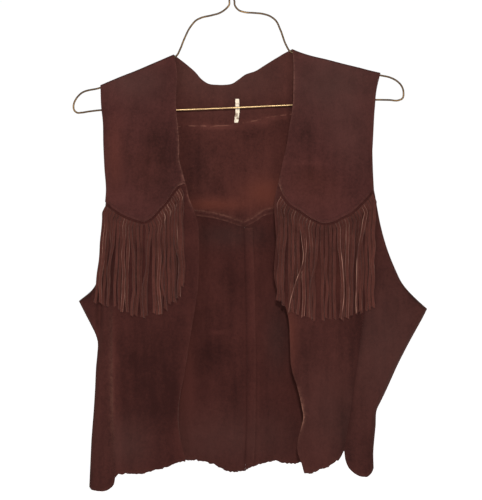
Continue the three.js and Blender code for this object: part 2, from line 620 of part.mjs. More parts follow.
// ---------------------------------------------------------------- seam allowances and tape
function insideStrip(name, top, bottom, columns, rows, thickness, lift, colour) {
  const [uList, vList] = [steps(columns), steps(rows)];
  const [a, b] = [along(top, uList), along(bottom, uList)];
  const grid = vList.map((v) => uList.map((_, i) => [0, 1].map((k) => lerp(a[i][k], b[i][k], v))));
  const cloth = new Cloth();
  cloth.grid(grid, (x, z) => backDepth(x < xAt(CENTRE, z) ? 'right' : 'left', x, z));
  const far = -SUEDE - lift;
  add(name, ...cloth.solid(1, far, far - thickness), colour);
}

// ---------------------------------------------------------------- fringe
const degrees = (angle) => (angle * Math.PI) / 180;

class Fringe {
  constructor(name, low, { from, to, count }) {
    const rising = low[0][0] < low[low.length - 1][0] ? low : [...low].reverse();
    const path = rising.filter(([x]) => x > from && x < to);
    this.name = name;
    this.count = count;
    this.line = [[from, zAt(rising, from)], ...path, [to, zAt(rising, to)]];
    this.positions = [];
    this.indices = [];
  }

  // A point that lies `out` in front of the cloth under the fringe.
  face(x, z, out) {
    return [x, Math.min(frontBase(this.name, x, z), frontDepth(this.name, x, z)) - out, z];
  }

  quad(a, b, c, d) {
    this.indices.push(a, b, c, a, c, d);
  }

  // The backing strip: four points at each strand's two edges. Its underside stays open at the
  // strands, which grow out of it there.
  strip() {
    const share = STRAND.gap / (STRAND.width + STRAND.gap) / 2;
    const stations = [];
    for (let i = 0; i < this.count; i += 1) {
      stations.push((i + share) / this.count, (i + 1 - share) / this.count);
    }
    along(this.line, stations).forEach(([x, z]) => {
      const [hi, lo] = [z + STRIP.top, z + STRIP.bottom];
      this.positions.push(this.face(x, hi, STRIP.near), this.face(x, lo, STRIP.near));
      this.positions.push(this.face(x, lo, STRIP.far), this.face(x, hi, STRIP.far));
    });
    const last = stations.length - 1;
    for (let s = 0; s < last; s += 1) {
      const [a, b] = [4 * s, 4 * (s + 1)];
      this.quad(a, a + 1, b + 1, b);
      this.quad(b + 3, b + 2, a + 2, a + 3);
      this.quad(a, b, b + 3, a + 3);
      if (s % 2 === 1) this.quad(a + 1, a + 2, b + 2, b + 1);
    }
    this.quad(0, 3, 2, 1);
    this.quad(4 * last, 4 * last + 1, 4 * last + 2, 4 * last + 3);
  }

  // One strand's rings: its centre, lean from plumb and turn about its own length, root first.
  hang(i, { fanOut, fanIn, forward }, ends) {
    const front = forward.find(({ strand }) => strand === i);
    const out = LAYER[front ? 2 : i % 2];
    const u = (i + 0.5) / this.count;
    const [[xr, zr], [xa, za], [xb, zb]] = along(this.line, [u, u - 0.025, u + 0.025]);
    const slope = Math.atan2(zb - za, xb - xa);
    const fan = lerp(-1, 1, u);
    const spread = fanOut * clamp01(-fan) ** 2 + fanIn * clamp01(fan) ** 2;
    const [third, twoThirds, end] = front ? [front.third, front.twoThirds, front.end]
      : [SWAY[0] * Math.sin(2.4 * i + 0.6), SWAY[1] * Math.sin(1.7 * i + 2.1),
        SWAY[2] * Math.sin(2.9 * i + 4.0)];
    const twist = degrees(front ? front.twist : TWIST * Math.sin(1.3 * i));
    const fall = zr - zAt(ends, xr + spread + end) + UNEVEN * Math.sin(3.7 * i);
    // Height below the root, sideways drift, distance from the cloth, share that hangs plumb.
    const stages = [
      [ROOT.bend, 0, ROOT.grip, 0],
      [ROOT.drop, 0.08 * spread, lerp(ROOT.grip, out, 0.62), 0.7],
      [ROOT.plumb, 0.25 * spread + 0.4 * third, out, 1],
      [0.44 * fall, 0.45 * spread + third, out + 0.3, 1],
      [0.68 * fall, 0.72 * spread + twoThirds, out + 0.1, 1],
      [0.86 * fall, 0.88 * spread + lerp(twoThirds, end, 0.6), out - 0.1, 1],
      [fall, spread + end, out - 0.3, 1],
    ];
    return stages.map(([down, side, away, plumb], k) => {
      const rootShift = Math.min(down, ROOT.turn) * Math.sin(slope) * lerp(1, 0.55, plumb);
      return {
        centre: this.face(xr + rootShift + side, zr - down * (k === 0 ? Math.cos(slope) : 1), away),
        lean: slope * (1 - plumb),
        turned: twist * ease((k - 1) / 3),
      };
    });
  }

  strand(i, hanging) {
    const [a, b] = [8 * i, 8 * i + 4];
    let ring = [a + 1, b + 1, b + 2, a + 2];
    for (const { centre, lean, turned } of hanging) {
      const half = STRAND.width / 2;
      const thick = STRAND.thickness / 2;
      const w = [half * Math.cos(lean) * Math.cos(turned), half * Math.sin(turned),
        half * Math.sin(lean) * Math.cos(turned)];
      const h = [thick * Math.sin(turned), -thick * Math.cos(turned), 0];
      const start = this.positions.length;
      for (const [p, q] of [[-1, 1], [1, 1], [1, -1], [-1, -1]]) {
        this.positions.push(centre.map((value, axis) => value + p * w[axis] + q * h[axis]));
      }
      const next = [0, 1, 2, 3].map((v) => start + v);
      for (let v = 0; v < 4; v += 1) {
        const t = (v + 1) % 4;
        this.quad(ring[v], next[v], next[t], ring[t]);
      }
      ring = next;
    }
    this.quad(ring[0], ring[3], ring[2], ring[1]);
  }
}

function fringe(name, low, plan, ends) {
  const made = new Fringe(name, low, plan);
  made.strip();
  for (let i = 0; i < plan.count; i += 1) made.strand(i, made.hang(i, plan, ends));
  add(`fringe_${name}`, made.positions, made.indices, 'fringe');
}

// ---------------------------------------------------------------- hanger wire
const flat = ([x, z]) => new THREE.Vector3(x, 0, z);
const wireCurve = (points) => new THREE.CatmullRomCurve3(points, false, 'centripetal');
const SAMPLE = 1.2;          // spacing of the points that a wire is chosen from
const END_CLEAR = 0.6;       // no chosen point lies nearer to an end than this
const MOST_BEND = 0.35;      // radians between two chosen points
const MOST_CHORD = 0.9;      // that bend times their distance

// The points of a curve between two fractions of its length, close together only where it bends.
function bends(curve, from, to) {
  const dense = curve.getSpacedPoints(Math.ceil(curve.getLength() / SAMPLE));
  const reach = [0];
  for (let i = 1; i < dense.length; i += 1) {
    reach.push(reach[i - 1] + dense[i].distanceTo(dense[i - 1]));
  }
  const total = reach[reach.length - 1];
  const lo = from * total + (from > 0 ? SEAM / 2 : 0);
  const hi = to * total - (to < 1 ? SEAM / 2 : 0);
  const at = (length) => curve.getPointAt(clamp01(length / curve.getLength()));
  const kept = [at(lo)];
  let heading = null;
  let since = lo;
  for (let i = 1; i + 1 < dense.length; i += 1) {
    if (reach[i] > lo + END_CLEAR && reach[i] < hi - END_CLEAR) {
      const dir = dense[i + 1].clone().sub(dense[i]).normalize();
      heading = heading ?? dir;
      const bend = dir.angleTo(heading);
      if (bend > MOST_BEND || bend * (reach[i] - since) > MOST_CHORD) {
        kept.push(dense[i]);
        heading = dir;
        since = reach[i];
      }
    }
  }
  return [...kept, at(hi)];
}

function wire(name, curve, from, to) {
  const path = bends(curve, from, to);
  const positions = [];
  const indices = [];
  let normal = new THREE.Vector3(0, 1, 0);
  path.forEach((p, k) => {
    const before = path[Math.max(0, k - 1)];
    const after = path[Math.min(path.length - 1, k + 1)];
    const tangent = after.clone().sub(before).normalize();
    normal = normal.clone().addScaledVector(tangent, -normal.dot(tangent)).normalize();
    const other = tangent.clone().cross(normal);
    for (let s = 0; s < WIRE_SIDES; s += 1) {
      const angle = (2 * Math.PI * s) / WIRE_SIDES;
      const q = p.clone().addScaledVector(normal, (WIRE / 2) * Math.cos(angle))
        .addScaledVector(other, (WIRE / 2) * Math.sin(angle));
      positions.push([q.x, q.y, q.z]);
    }
  });
  for (let k = 0; k + 1 < path.length; k += 1) {
    for (let s = 0; s < WIRE_SIDES; s += 1) {
      const [a, b] = [k * WIRE_SIDES + s, k * WIRE_SIDES + ((s + 1) % WIRE_SIDES)];
      indices.push(a, b, b + WIRE_SIDES, a, b + WIRE_SIDES, a + WIRE_SIDES);
    }
  }
  const end = (path.length - 1) * WIRE_SIDES;
  for (let s = 1; s + 1 < WIRE_SIDES; s += 1) {
    indices.push(0, s + 1, s, end, end + s, end + s + 1);
  }
  add(name, positions, indices, 'wire', 0.85, 0.35);
}

// ---------------------------------------------------------------- put together
frontYoke('right', SHOULDER_RIGHT, YOKE_FRONT_RIGHT, YOKE_LOW_RIGHT, YOKE_ARM_RIGHT);
frontYoke('left', SHOULDER_LEFT, YOKE_FRONT_LEFT, YOKE_LOW_LEFT, YOKE_ARM_LEFT);
frontLower('right', YOKE_LOW_RIGHT, EDGE_RIGHT, SEAM_RIGHT, HEM_FRONT_RIGHT, 1);
frontLower('left', YOKE_LOW_LEFT, EDGE_LEFT, SEAM_LEFT, HEM_FRONT_LEFT, -1);
backYoke();
backLower('right', halfRight, [...HEM_BACK_RIGHT].reverse(), HEM_WING_RIGHT, SEAM_RIGHT,
  WING_ARM_RIGHT, BACK_ARM_RIGHT, SIDE_RIGHT, -1);
backLower('left', halfLeft, HEM_BACK_LEFT, HEM_WING_LEFT, SEAM_LEFT,
  WING_ARM_LEFT, BACK_ARM_LEFT, SIDE_LEFT, 1);

const seamBand = BACK_SEAM.map(([x, z]) => [lerp(SEAM_POINT[0], x, 0.975), z]);
insideStrip('back_seam_allowance', up(seamBand, 1), up(seamBand, -ALLOWANCE.height), 26, 2,
  ALLOWANCE.thickness, ALLOWANCE.lift, 'inside');
const centreBand = between(CENTRE, SEAM_POINT[1] - ALLOWANCE.height - 1, ALLOWANCE.hem);
insideStrip('centre_seam_allowance', across(centreBand, -0.5),
  across(centreBand, ALLOWANCE.width), 10, 2, ALLOWANCE.thickness, ALLOWANCE.lift, 'inside');
const tapeLine = [0.5, -0.5].map((k) => [TAPE.x + k * TAPE.slant, TAPE.z + k * TAPE.height]);
insideStrip('neck_tape', across(tapeLine, -TAPE.width / 2), across(tapeLine, TAPE.width / 2),
  5, 2, TAPE.thickness, ALLOWANCE.lift, 'tape');

fringe('right', YOKE_LOW_RIGHT, FRINGE_RIGHT, FRINGE_ENDS_RIGHT);
fringe('left', YOKE_LOW_LEFT, FRINGE_LEFT, FRINGE_ENDS_LEFT);

const hookArc = [];
for (let angle = HOOK.tipAngle; angle >= HOOK.stemAngle; angle -= HOOK.step) {
  const a = degrees(angle);
  hookArc.push([HOOK.radius * Math.cos(a), WIRE / 2 - HOOK.radius + HOOK.radius * Math.sin(a)]);
}
const underShoulder = (line) => up(line, -SHOULDER_BEND).slice(1);
const BAR = [[-187, -232.5], [-72, -230.3], [78, -223.9], [205.5, -217.5]];
const leftCurve = wireCurve([...hookArc, [7, -50], [0.8, HOOK.stem + 3], [0, HOOK.stem - 4],
  [0, HOOK.neckBottom], ...WIRE_BELL_LEFT, ...underShoulder(SHOULDER_LEFT), ...WIRE_END_LEFT]
  .map(flat));
const wrapRadius = WIRE + 1.5 * SEAM;
const wrap = steps(20).map((t) => {
  const angle = Math.PI + 2 * Math.PI * HOOK.turns * (1 - t);
  return new THREE.Vector3(wrapRadius * Math.cos(angle), wrapRadius * Math.sin(angle),
    lerp(HOOK.neckTop, HOOK.neckBottom, t));
});
const rightCurve = wireCurve([...wrap, ...[...WIRE_BELL_RIGHT, ...underShoulder(SHOULDER_RIGHT),
  ...WIRE_END_RIGHT].map(flat)]);
wire('hanger_hook', leftCurve, 0, 0.55);
wire('hanger_shoulder_left', leftCurve, 0.55, 1);
wire('hanger_neck_wrap', rightCurve, 0, 0.45);
wire('hanger_shoulder_right', rightCurve, 0.45, 1);
wire('hanger_bar', wireCurve(BAR.map(flat)), 0.001, 0.9997);

export default vest;
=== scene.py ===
"""A suede fringe vest, open on a gold wire hanger: napped hide, raw hems, cut fringe, thread and wire.

Outlines and depths are in millimetres, as a cutter writes them down, and become metres where a
mesh is made. X is across, Z is up, the front faces -Y. Right and left are the wearer's.
"""

import math
import random

import bmesh
import bpy
import numpy as np
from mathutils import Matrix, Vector, noise
from mathutils.kdtree import KDTree


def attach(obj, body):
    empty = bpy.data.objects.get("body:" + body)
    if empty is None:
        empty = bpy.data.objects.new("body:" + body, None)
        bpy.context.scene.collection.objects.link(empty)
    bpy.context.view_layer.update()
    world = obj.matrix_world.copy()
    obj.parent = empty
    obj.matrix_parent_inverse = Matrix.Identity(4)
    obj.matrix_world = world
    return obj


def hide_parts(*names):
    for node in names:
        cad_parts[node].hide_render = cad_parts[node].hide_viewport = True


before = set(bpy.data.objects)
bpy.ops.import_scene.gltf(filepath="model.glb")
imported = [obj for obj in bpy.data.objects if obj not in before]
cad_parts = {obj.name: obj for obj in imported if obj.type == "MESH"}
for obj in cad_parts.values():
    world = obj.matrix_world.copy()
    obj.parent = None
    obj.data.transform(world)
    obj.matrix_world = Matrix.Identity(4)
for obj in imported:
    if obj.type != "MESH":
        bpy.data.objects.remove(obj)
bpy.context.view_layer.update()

# ---------------------------------------------------------------- sizes
MM = 0.001
SUEDE = 1.3  # wall of a panel
SEAM = 0.3  # free gap at a seam
PANEL_GAP = 0.04  # between panels that a seam draws together
SHOULDER_BEND = 3.4  # outer radius of the cloth over the wire
SHOULDER_FALL = 60.0  # height below the wire in which it reaches its hanging depth
SHOULDER_LEAN = 0.07  # and how far it moves outwards on the way, per millimetre
YOKE_PROUD = 3.5  # front yoke's face in front of the lower front's
# How far a lower front reaches up behind its yoke, and its two top corners' places there.
LAP = {"height": 8.0, "edge_drop": 1.0, "edge_in": 4.5, "seam_drop": 2.5, "seam_in": 0.4}
SIDE_ROUND_BACK = 16.0  # width of the soft turn at the side, on the back
SIDE_ROUND_FRONT = 9.0  # and on the front
UNDERARM_BLEND = 42.0  # height over which an armhole's open edge becomes that turn
BACK_FLAT = 0.6  # share of a back half's width that hangs free of its armhole
STRIP = {"near": 1.7, "far": 0.5, "top": 7.0, "bottom": 1.5}  # the fringe's backing strip
STRAND = {"width": 3.7, "thickness": 1.1}
LAYER = (1.9, 4.9, 8.6)  # how far in front of the cloth the fringe's three layers hang
# How far a strand's root is from the cloth, and how far down it bends, drops, hangs plumb and no
# longer follows the yoke's slope.
ROOT = {"grip": 1.15, "bend": 3.2, "drop": 15.0, "plumb": 32.0, "turn": 12.0}
# How strands differ along the fringe, each as a sine: how much, its step from one strand to the
# next and where it starts. Sideways drift a third, two thirds and all the way down, then twist in
# degrees and length.
SWAY = [(0.75, 2.4, 0.6), (0.95, 1.7, 2.1), (1.05, 2.9, 4.0)]
TWIST = (9.0, 1.3, 0.0)
UNEVEN = (1.6, 3.7, 0.0)
ALLOWANCE = {
    "thickness": 1.1, "lift": 0.45, "height": 6.0, "width": 11.0, "hem": -694.0,
    "turned_steps": (210, 6), "pressed_steps": (140, 6),
}
TAPE = {
    "x": 6.6, "z": -231.0, "width": 5.2, "height": 31.0, "slant": 1.4, "thickness": 1.0,
    "wave": 0.5, "fray": 0.5, "rows": 32, "steps": (40, 8),
}
TOPSTITCH = 4.2  # how far a row of stitches lies from the edge that it holds
# How far a row stops short of its line's two ends, and the heights between which the centre's run.
ROW_ENDS = {"yoke": (8, 6), "seam": (6, 6), "centre": (4, 6)}
CENTRE_STITCHED = (-382, -700)
BAND_SHARE = 0.975  # how much of the back yoke's seam its turned allowance takes
WIRE = 2.5
HOOK = {
    "radius": 22.0, "tip_angle": 200.0, "stem_angle": -35.0, "step": 23.5, "stem": -64.0,
    "neck_top": -68.0, "neck_bottom": -82.0, "turns": 2.5, "turn_steps": 40,
}
CORNER = math.radians(33)  # a sharper turn than this in an outline stays a corner
ROUND_PARTS = 8  # stretches that an outline's round is drawn with, between two points
COARSE = 2.4  # largest spacing of a panel's points down its length
ACROSS = 1.5  # and across it, where the hem's raggedness needs it

# ---------------------------------------------------------------- outlines, (x, z)
RIGHT = {
    # shoulder line, neck end first
    "shoulder": [
        (-76, -158), (-83, -161), (-104, -170), (-125, -179), (-145.5, -187), (-161, -193.5),
        (-171.5, -198),
    ],
    # front yoke: front edge, armhole edge, pointed lower edge
    "yoke_front": [
        (-76, -158), (-73, -171), (-72.5, -231), (-70, -254.5), (-68.5, -276.5), (-68, -297.5),
        (-65, -309), (-60, -327),
    ],
    "yoke_arm": [
        (-171.5, -198), (-170, -228.5), (-168, -244), (-167, -275), (-165.5, -306.5),
        (-163.5, -337.5), (-164.5, -350.5),
    ],
    "yoke_low": [
        (-60, -327), (-67.5, -329), (-78.5, -341), (-85, -350.5), (-94.5, -360.5), (-104, -371),
        (-113.5, -376.5), (-129, -372.5), (-145, -365), (-164.5, -350.5),
    ],
    # lower front: front edge, side seam, hem
    "edge": [
        (-60, -327), (-56.5, -343), (-49.5, -361), (-44, -379), (-43, -400), (-43, -432.5),
        (-44, -461), (-48, -489.5), (-55, -531.5), (-62, -575.5), (-68, -605.5), (-70, -631.5),
        (-67.5, -655), (-63, -674.5), (-60, -687),
    ],
    "seam": [
        (-160.5, -347.5), (-158, -363.5), (-156, -393.5), (-155.5, -478), (-155.5, -543),
        (-155, -608), (-153.5, -660), (-151.5, -708),
    ],
    "hem_front": [
        (-60, -687), (-73, -690), (-84.5, -694.5), (-96, -697.5), (-108, -700.5), (-115.5, -703),
        (-132.5, -703), (-147, -704), (-151.5, -708),
    ],
    # lower back: armhole edges before and behind, side, hems
    "wing_arm": [
        (-163.5, -346.5), (-165.5, -369), (-167, -389.5), (-168.5, -413), (-171, -435),
        (-175.5, -457), (-183.5, -467.5), (-199.5, -479.5),
    ],
    "back_arm": [
        (-171.5, -198), (-169.5, -218), (-167, -257), (-165.5, -296), (-164, -335), (-164, -353),
        (-166, -387), (-168.5, -419.5), (-173, -445.5), (-180.5, -462.5), (-199.5, -479.5),
    ],
    "side": [
        (-199.5, -479.5), (-192.5, -493.5), (-184.5, -509), (-177.5, -523.5), (-175, -532.5),
        (-175.5, -548), (-177, -564), (-178.5, -595), (-180.5, -626), (-183, -657.5),
        (-184.5, -688.5), (-186, -721),
    ],
    "hem_wing": [
        (-186, -721), (-182.5, -724.5), (-177, -725.5), (-162.5, -725), (-158, -722.5),
        (-154, -718.5), (-151.5, -708),
    ],
    "hem_back": [
        (17, -703), (5, -704.5), (-6.5, -703), (-18, -697.5), (-26, -694), (-34, -691),
        (-41.5, -689.5), (-54.5, -689), (-80.5, -689.5), (-119.5, -692), (-152, -701.5),
        (-171.5, -713.5), (-186, -721),
    ],
    # where the fringe ends
    "fringe_ends": [
        (-179.5, -480.5), (-166.5, -482.5), (-148, -487), (-139, -492.5), (-126, -497),
        (-113, -499), (-102.5, -495.5), (-95, -497), (-85, -480.5), (-76.5, -479.5), (-73, -470),
        (-62.5, -448),
    ],
    # hanger wire: half the raised neck, and the turned end
    "wire_bell": [
        (-3.5, -88), (-3.5, -92.5), (-9, -99.5), (-16, -104), (-26, -107), (-40.5, -110.5),
        (-46.5, -113.5), (-53, -120.5), (-62.5, -138.5), (-67.5, -151), (-72.5, -160),
    ],
    "wire_end": [
        (-197.5, -209.5), (-203.5, -216.5), (-206.5, -224.5), (-205.5, -231), (-202, -234),
        (-196.5, -234), (-187, -232.5),
    ],
}
LEFT = {
    # shoulder line, neck end first
    "shoulder": [
        (78.5, -151), (87, -154.5), (102.5, -159.5), (123.5, -164.5), (144.5, -170), (165, -175),
        (180.5, -179), (193.5, -182),
    ],
    # front yoke: front edge, armhole edge, pointed lower edge
    "yoke_front": [
        (78.5, -151), (80, -166), (80, -196), (79, -223), (77, -239), (74, -255.5), (71, -276.5),
        (65.5, -300), (60, -327),
    ],
    "yoke_arm": [
        (193.5, -182), (188, -205), (185.5, -228.5), (183, -270), (181.5, -302.5), (183, -335),
    ],
    "yoke_low": [
        (60, -327), (67.5, -344), (76.5, -354.5), (88.5, -362), (102.5, -371.5), (116.5, -377.5),
        (130, -376.5), (143, -370), (153.5, -365), (161, -358.5), (173, -346.5), (183, -335),
    ],
    # lower front: front edge, side seam, hem
    "edge": [
        (60, -327), (57, -337.5), (57, -400), (57, -460), (62.5, -474), (70, -488.5), (73.5, -504),
        (75, -532.5), (77.5, -567.5), (84.5, -590), (90.5, -616), (92.5, -629), (89.5, -643),
        (85.5, -658.5), (84.5, -670.5), (90.5, -691), (93.5, -703),
    ],
    "seam": [
        (180, -335), (179, -367.5), (177.5, -413), (175, -465), (172, -489.5), (169.5, -506.5),
        (165.5, -536.5), (162.5, -561), (159, -584.5), (153.5, -626), (148.5, -652), (145.5, -673),
    ],
    "hem_front": [
        (93.5, -703), (106.5, -700.5), (114.5, -696.5), (126, -692.5), (134, -687.5), (139, -683.5),
        (145.5, -673),
    ],
    # lower back: armhole edges before and behind, side, hems
    "wing_arm": [
        (184, -333.5), (186, -344), (188, -356), (193.5, -384.5), (202.5, -415.5), (212, -439),
        (219.5, -454.5), (232.5, -470), (241, -478), (254, -489.5),
    ],
    "back_arm": [
        (193.5, -182), (188.5, -205), (186.5, -228.5), (183.5, -259.5), (183.5, -283),
        (184.5, -315.5), (186.5, -345.5), (189, -367.5), (195, -393.5), (205, -423.5), (216, -450),
        (230, -469.5), (241, -479), (254, -489.5),
    ],
    "side": [
        (254, -489.5), (248, -501.5), (239.5, -517), (231, -532.5), (223, -548), (215, -564),
        (208, -579.5), (201, -595), (193.5, -610.5), (189, -619.5), (187, -642), (185.5, -657.5),
        (184, -677), (184.5, -696.5),
    ],
    "hem_wing": [
        (184.5, -696.5), (180.5, -703.5), (175.5, -707.5), (167.5, -707), (160, -703.5),
        (152, -696.5), (148, -688.5), (145.5, -673),
    ],
    "hem_back": [
        (17, -703), (21, -700.5), (28.5, -696.5), (44, -692.5), (56, -690), (71.5, -692.5),
        (87, -692.5), (108, -683.5), (127.5, -673), (145.5, -666.5), (161, -678), (174, -690),
        (184.5, -696.5),
    ],
    # where the fringe ends
    "fringe_ends": [
        (67.5, -478), (76.5, -493.5), (88.5, -495.5), (99, -499), (110, -504), (126, -501.5),
        (143, -501.5), (156, -495), (169, -491.5), (177, -486),
    ],
    # hanger wire: half the raised neck, and the turned end
    "wire_bell": [
        (3, -88), (3.5, -93.5), (9, -100.5), (16.5, -103), (29, -104), (41.5, -105.5), (50, -108.5),
        (57, -114), (63, -126), (70.5, -146), (75, -153.5),
    ],
    "wire_end": [
        (205.5, -188), (214.5, -192.5), (220.5, -198.5), (223.5, -207.5), (222, -215.5),
        (216.5, -218), (205.5, -217.5),
    ],
}
# The back neck, the back yoke's seam and the centre seam.
NECK_BACK = [
    (-76, -158), (-68, -164), (-59, -171), (-48, -180.5), (-39, -190.5), (-31, -195.5),
    (-19.5, -197), (-9, -197), (0, -195.5), (8, -190.5), (17, -184), (31, -179), (41.5, -172.5),
    (58.5, -162), (71.5, -154.5), (78.5, -151),
]
BACK_SEAM = [
    (-164, -353), (-132.5, -356.5), (-93.5, -359), (-50, -362), (-26.5, -365), (-6.5, -370),
    (6.5, -374.5), (15.5, -377), (23.5, -373.5), (32, -369), (40.5, -363), (54.5, -359),
    (95, -354.5), (140.5, -348), (186.5, -345.5),
]
CENTRE = [
    (15.5, -377), (17.5, -426), (19.5, -517), (20, -608), (19, -660), (17, -703),
]

# Depths of the outer faces, one row for each height.
FRONT_COLUMNS = ("z", "edge", "middle", "seam", "side")
FRONT_DEPTH_RIGHT = [
    (-205, -8, -9, -7, -5),
    (-257, -14, -15, -11, -7),
    (-309, -17, -18, -13, -8),
    (-348, -19, -20, -14, -7),
    (-413, -19, -22, -14, -5),
    (-480, -17, -22, -15, -3),
    (-545, -17, -21, -16, -3),
    (-610, -20, -20, -15, -3),
    (-720, -16, -20, -14, -2),
]
FRONT_DEPTH_LEFT = [
    (-199, -8, -10, -7, -4),
    (-257, -14, -15, -11, -6),
    (-309, -16, -18, -13, -7),
    (-348, -18, -21, -15, -8),
    (-413, -19, -25, -18, -8),
    (-480, -17, -26, -20, -5),
    (-545, -19, -26, -19, -2),
    (-610, -21, -23, -17, -3),
    (-660, -22, -24, -16, -4),
    (-720, -19, -22, -15, -4),
]
BACK_COLUMNS = ("z", "centre", "out", "side")
BACK_DEPTH = [
    (-160, 6, 6, 4),
    (-205, 9, 8, 5),
    (-257, 12, 11, 7),
    (-309, 14, 13, 8),
    (-374, 16, 15, 8),
    (-480, 17, 18, 5),
    (-608, 19, 19, 4),
    (-720, 20, 17, 3),
]
# Large folds of each panel: (x0, z0) down to (x1, z1), half its width, its depth towards +Y.
FOLDS = {
    "front": [
        (-171, -445, -173, -535, 4, 6), (101, -500, 96, -600, 9, 3),
        (118, -520, 128, -700, 12, -3), (146, -455, 150, -640, 10, 3),
        (205, -420, 178, -640, 13, -3), (-72, -470, -88, -660, 14, 3),
        (-108, -480, -118, -700, 14, -2.5), (-136, -560, -140, -700, 9, 2.5),
    ],
    "back": [
        (-62, -400, -78, -690, 16, 3), (-118, -420, -126, -680, 16, -3),
        (84, -390, 96, -670, 15, 3), (150, -400, 140, -650, 15, -3),
        (-22, -480, -30, -700, 10, -2.5), (46, -520, 40, -690, 9, 2.5),
    ],
}

# Creases listed for each layer, as soft troughs (+) and ridges (-): (x0, z0) to (x1, z1), half
# their width and their depth.
CREASES = {
    "front": [
        (-168, -262, -150, -216, 7.0, 0.9), (-160, -300, -120, -250, 12.0, -1.1),
        (-98, -190, -84, -262, 9.0, 0.9), (-132, -226, -126, -330, 13.0, 0.8),
        (-79, -250, -76, -318, 4.5, -0.9), (88, -176, 96, -300, 9.0, 0.9),
        (118, -186, 112, -330, 13.0, -0.9), (168, -200, 148, -290, 10.0, 0.9),
        (150, -300, 120, -352, 8.0, 0.7), (176, -262, 168, -336, 5.0, -0.9),
        (-60, -400, -92, -452, 10.0, 1.2), (-96, -408, -104, -520, 9.0, -1.2),
        (-128, -470, -120, -610, 10.0, 1.6), (-54, -470, -58, -560, 5.0, -1.4),
        (-148, -520, -146, -690, 4.0, -1.2), (-78, -600, -84, -694, 7.0, 1.4),
        (62, -400, 66, -520, 4.5, -1.5), (74, -480, 86, -590, 5.0, 1.6),
        (95, -520, 104, -620, 6.0, -1.8), (112, -560, 108, -690, 7.0, 1.4),
        (133, -500, 132, -650, 8.0, -1.3), (70, -470, 96, -484, 3.0, 1.0),
        (160, -420, 172, -470, 8.0, 1.2), (196, -470, 176, -590, 9.0, 1.4),
        (214, -500, 190, -640, 6.0, -1.2), (168, -560, 172, -690, 7.0, -1.0),
    ],
    "back": [
        (-72, -241, -22, -252, 4.0, -1.4), (-22, -252, 30, -249, 3.5, -1.1),
        (20, -252, 78, -233, 4.5, -1.3), (-40, -280, -20, -352, 14.0, 1.4),
        (42, -262, 58, -350, 14.0, -1.4), (-40, -400, -46, -560, 12.0, -1.6),
        (-8, -420, 2, -600, 7.0, 1.3), (-34, -546, 26, -560, 5.0, -0.9),
        (42, -400, 38, -540, 8.0, 1.5), (-24, -610, -40, -690, 10.0, 1.5),
        (60, -560, 52, -680, 9.0, -1.5), (-120, -240, -96, -340, 13.0, 1.6),
        (128, -230, 112, -335, 13.0, 1.6), (-150, -420, -138, -600, 10.0, 1.8),
        (172, -440, 150, -640, 12.0, 2.0),
    ],
}
# Soft patches of each layer where the hide is lighter (+) or darker (-): partly the nap's own tone,
# partly painted light and shade, such as a painted sheen on the yokes' tops, painted shade in seams
# and folds and painted highlights along creases and a seam. A patch's middle, its half width and half
# height, how much.
TONE_LIGHT_AND_SHADE = {
    "yoke": [
        (-96, -166, 26, 12, 0.55), (-150, -206, 16, 26, 0.55), (-154, -290, 8, 60, 0.35),
        (-92, -290, 26, 50, -0.8), (-124, -300, 30, 38, -0.15), (-150, -342, 22, 10, 0.35),
        (118, -150, 60, 26, 0.4), (98, -262, 16, 26, -0.35), (164, -222, 12, 10, 0.5),
        (150, -214, 10, 5, 0.6), (112, -322, 46, 30, -0.15), (106, -300, 34, 4, 0.4),
        (166, -276, 14, 40, -0.2),
    ],
    "front": [
        (-107, -583, 36, 72, -0.75), (-116, -530, 42, 56, -0.15), (-155, -570, 3.5, 130, 0.9),
        (-147, -664, 8, 36, 0.3), (-149, -556, 6, 7, 0.4), (-84, -690, 30, 18, -0.2),
        (-62, -440, 12, 60, -0.25), (-76, -560, 12, 60, -0.3), (-82, -650, 12, 50, -0.3),
        (76, -522, 8, 46, 0.45), (96, -560, 5, 50, -0.35), (104, -650, 16, 40, 0.15),
        (164, -490, 4, 46, -0.8), (157, -570, 6, 50, -0.8), (146, -650, 7, 44, -0.8),
        (205, -500, 22, 40, 0.35), (172, -660, 14, 46, 0.6),
    ],
    "inside": [
        (-76, -150, 20, 10, 0.6), (-10, -205, 80, 20, 0.15), (-20, -252, 26, 2.8, 1.1),
        (-60, -247, 20, 2.4, 0.4), (30, -246, 18, 2.8, 0.8), (56, -240, 18, 2.8, 0.9),
        (72, -235, 8, 2.8, 0.7), (-44, -300, 19, 27, -0.65), (-18, -332, 16, 14, -0.4),
        (26, -262, 16, 8, -0.35), (52, -282, 22, 20, 0.25), (46, -336, 24, 20, 0.9),
        (-26, -352, 40, 8, 0.7),
    ],
    "back": [
        (-12, -392, 34, 16, -0.6), (38, -396, 20, 16, -0.6), (0, -446, 16, 38, -0.5),
        (27, -480, 7, 78, 0.55), (18, -560, 3, 80, 0.3), (34, -620, 3, 70, 0.25),
        (47, -462, 10, 16, 0.3), (60, -528, 16, 42, -0.8), (-20, -521, 12, 2.4, 0.7),
        (-6, -596, 22, 44, -0.4), (-44, -440, 8, 60, 0.5), (-56, -530, 9, 50, 0.6),
        (-64, -620, 9, 60, 0.5), (-28, -550, 20, 18, -0.6), (-55, -580, 8, 50, 0.8),
        (-42, -632, 18, 30, 0.15), (-6, -572, 10, 16, 0.35), (10, -604, 10, 26, -0.4),
        (66, -650, 20, 40, -0.2), (166, -500, 7, 60, -0.55), (150, -640, 8, 60, -0.5),
        (-120, -560, 40, 80, 0.2), (120, -480, 40, 60, 0.2),
    ],
}
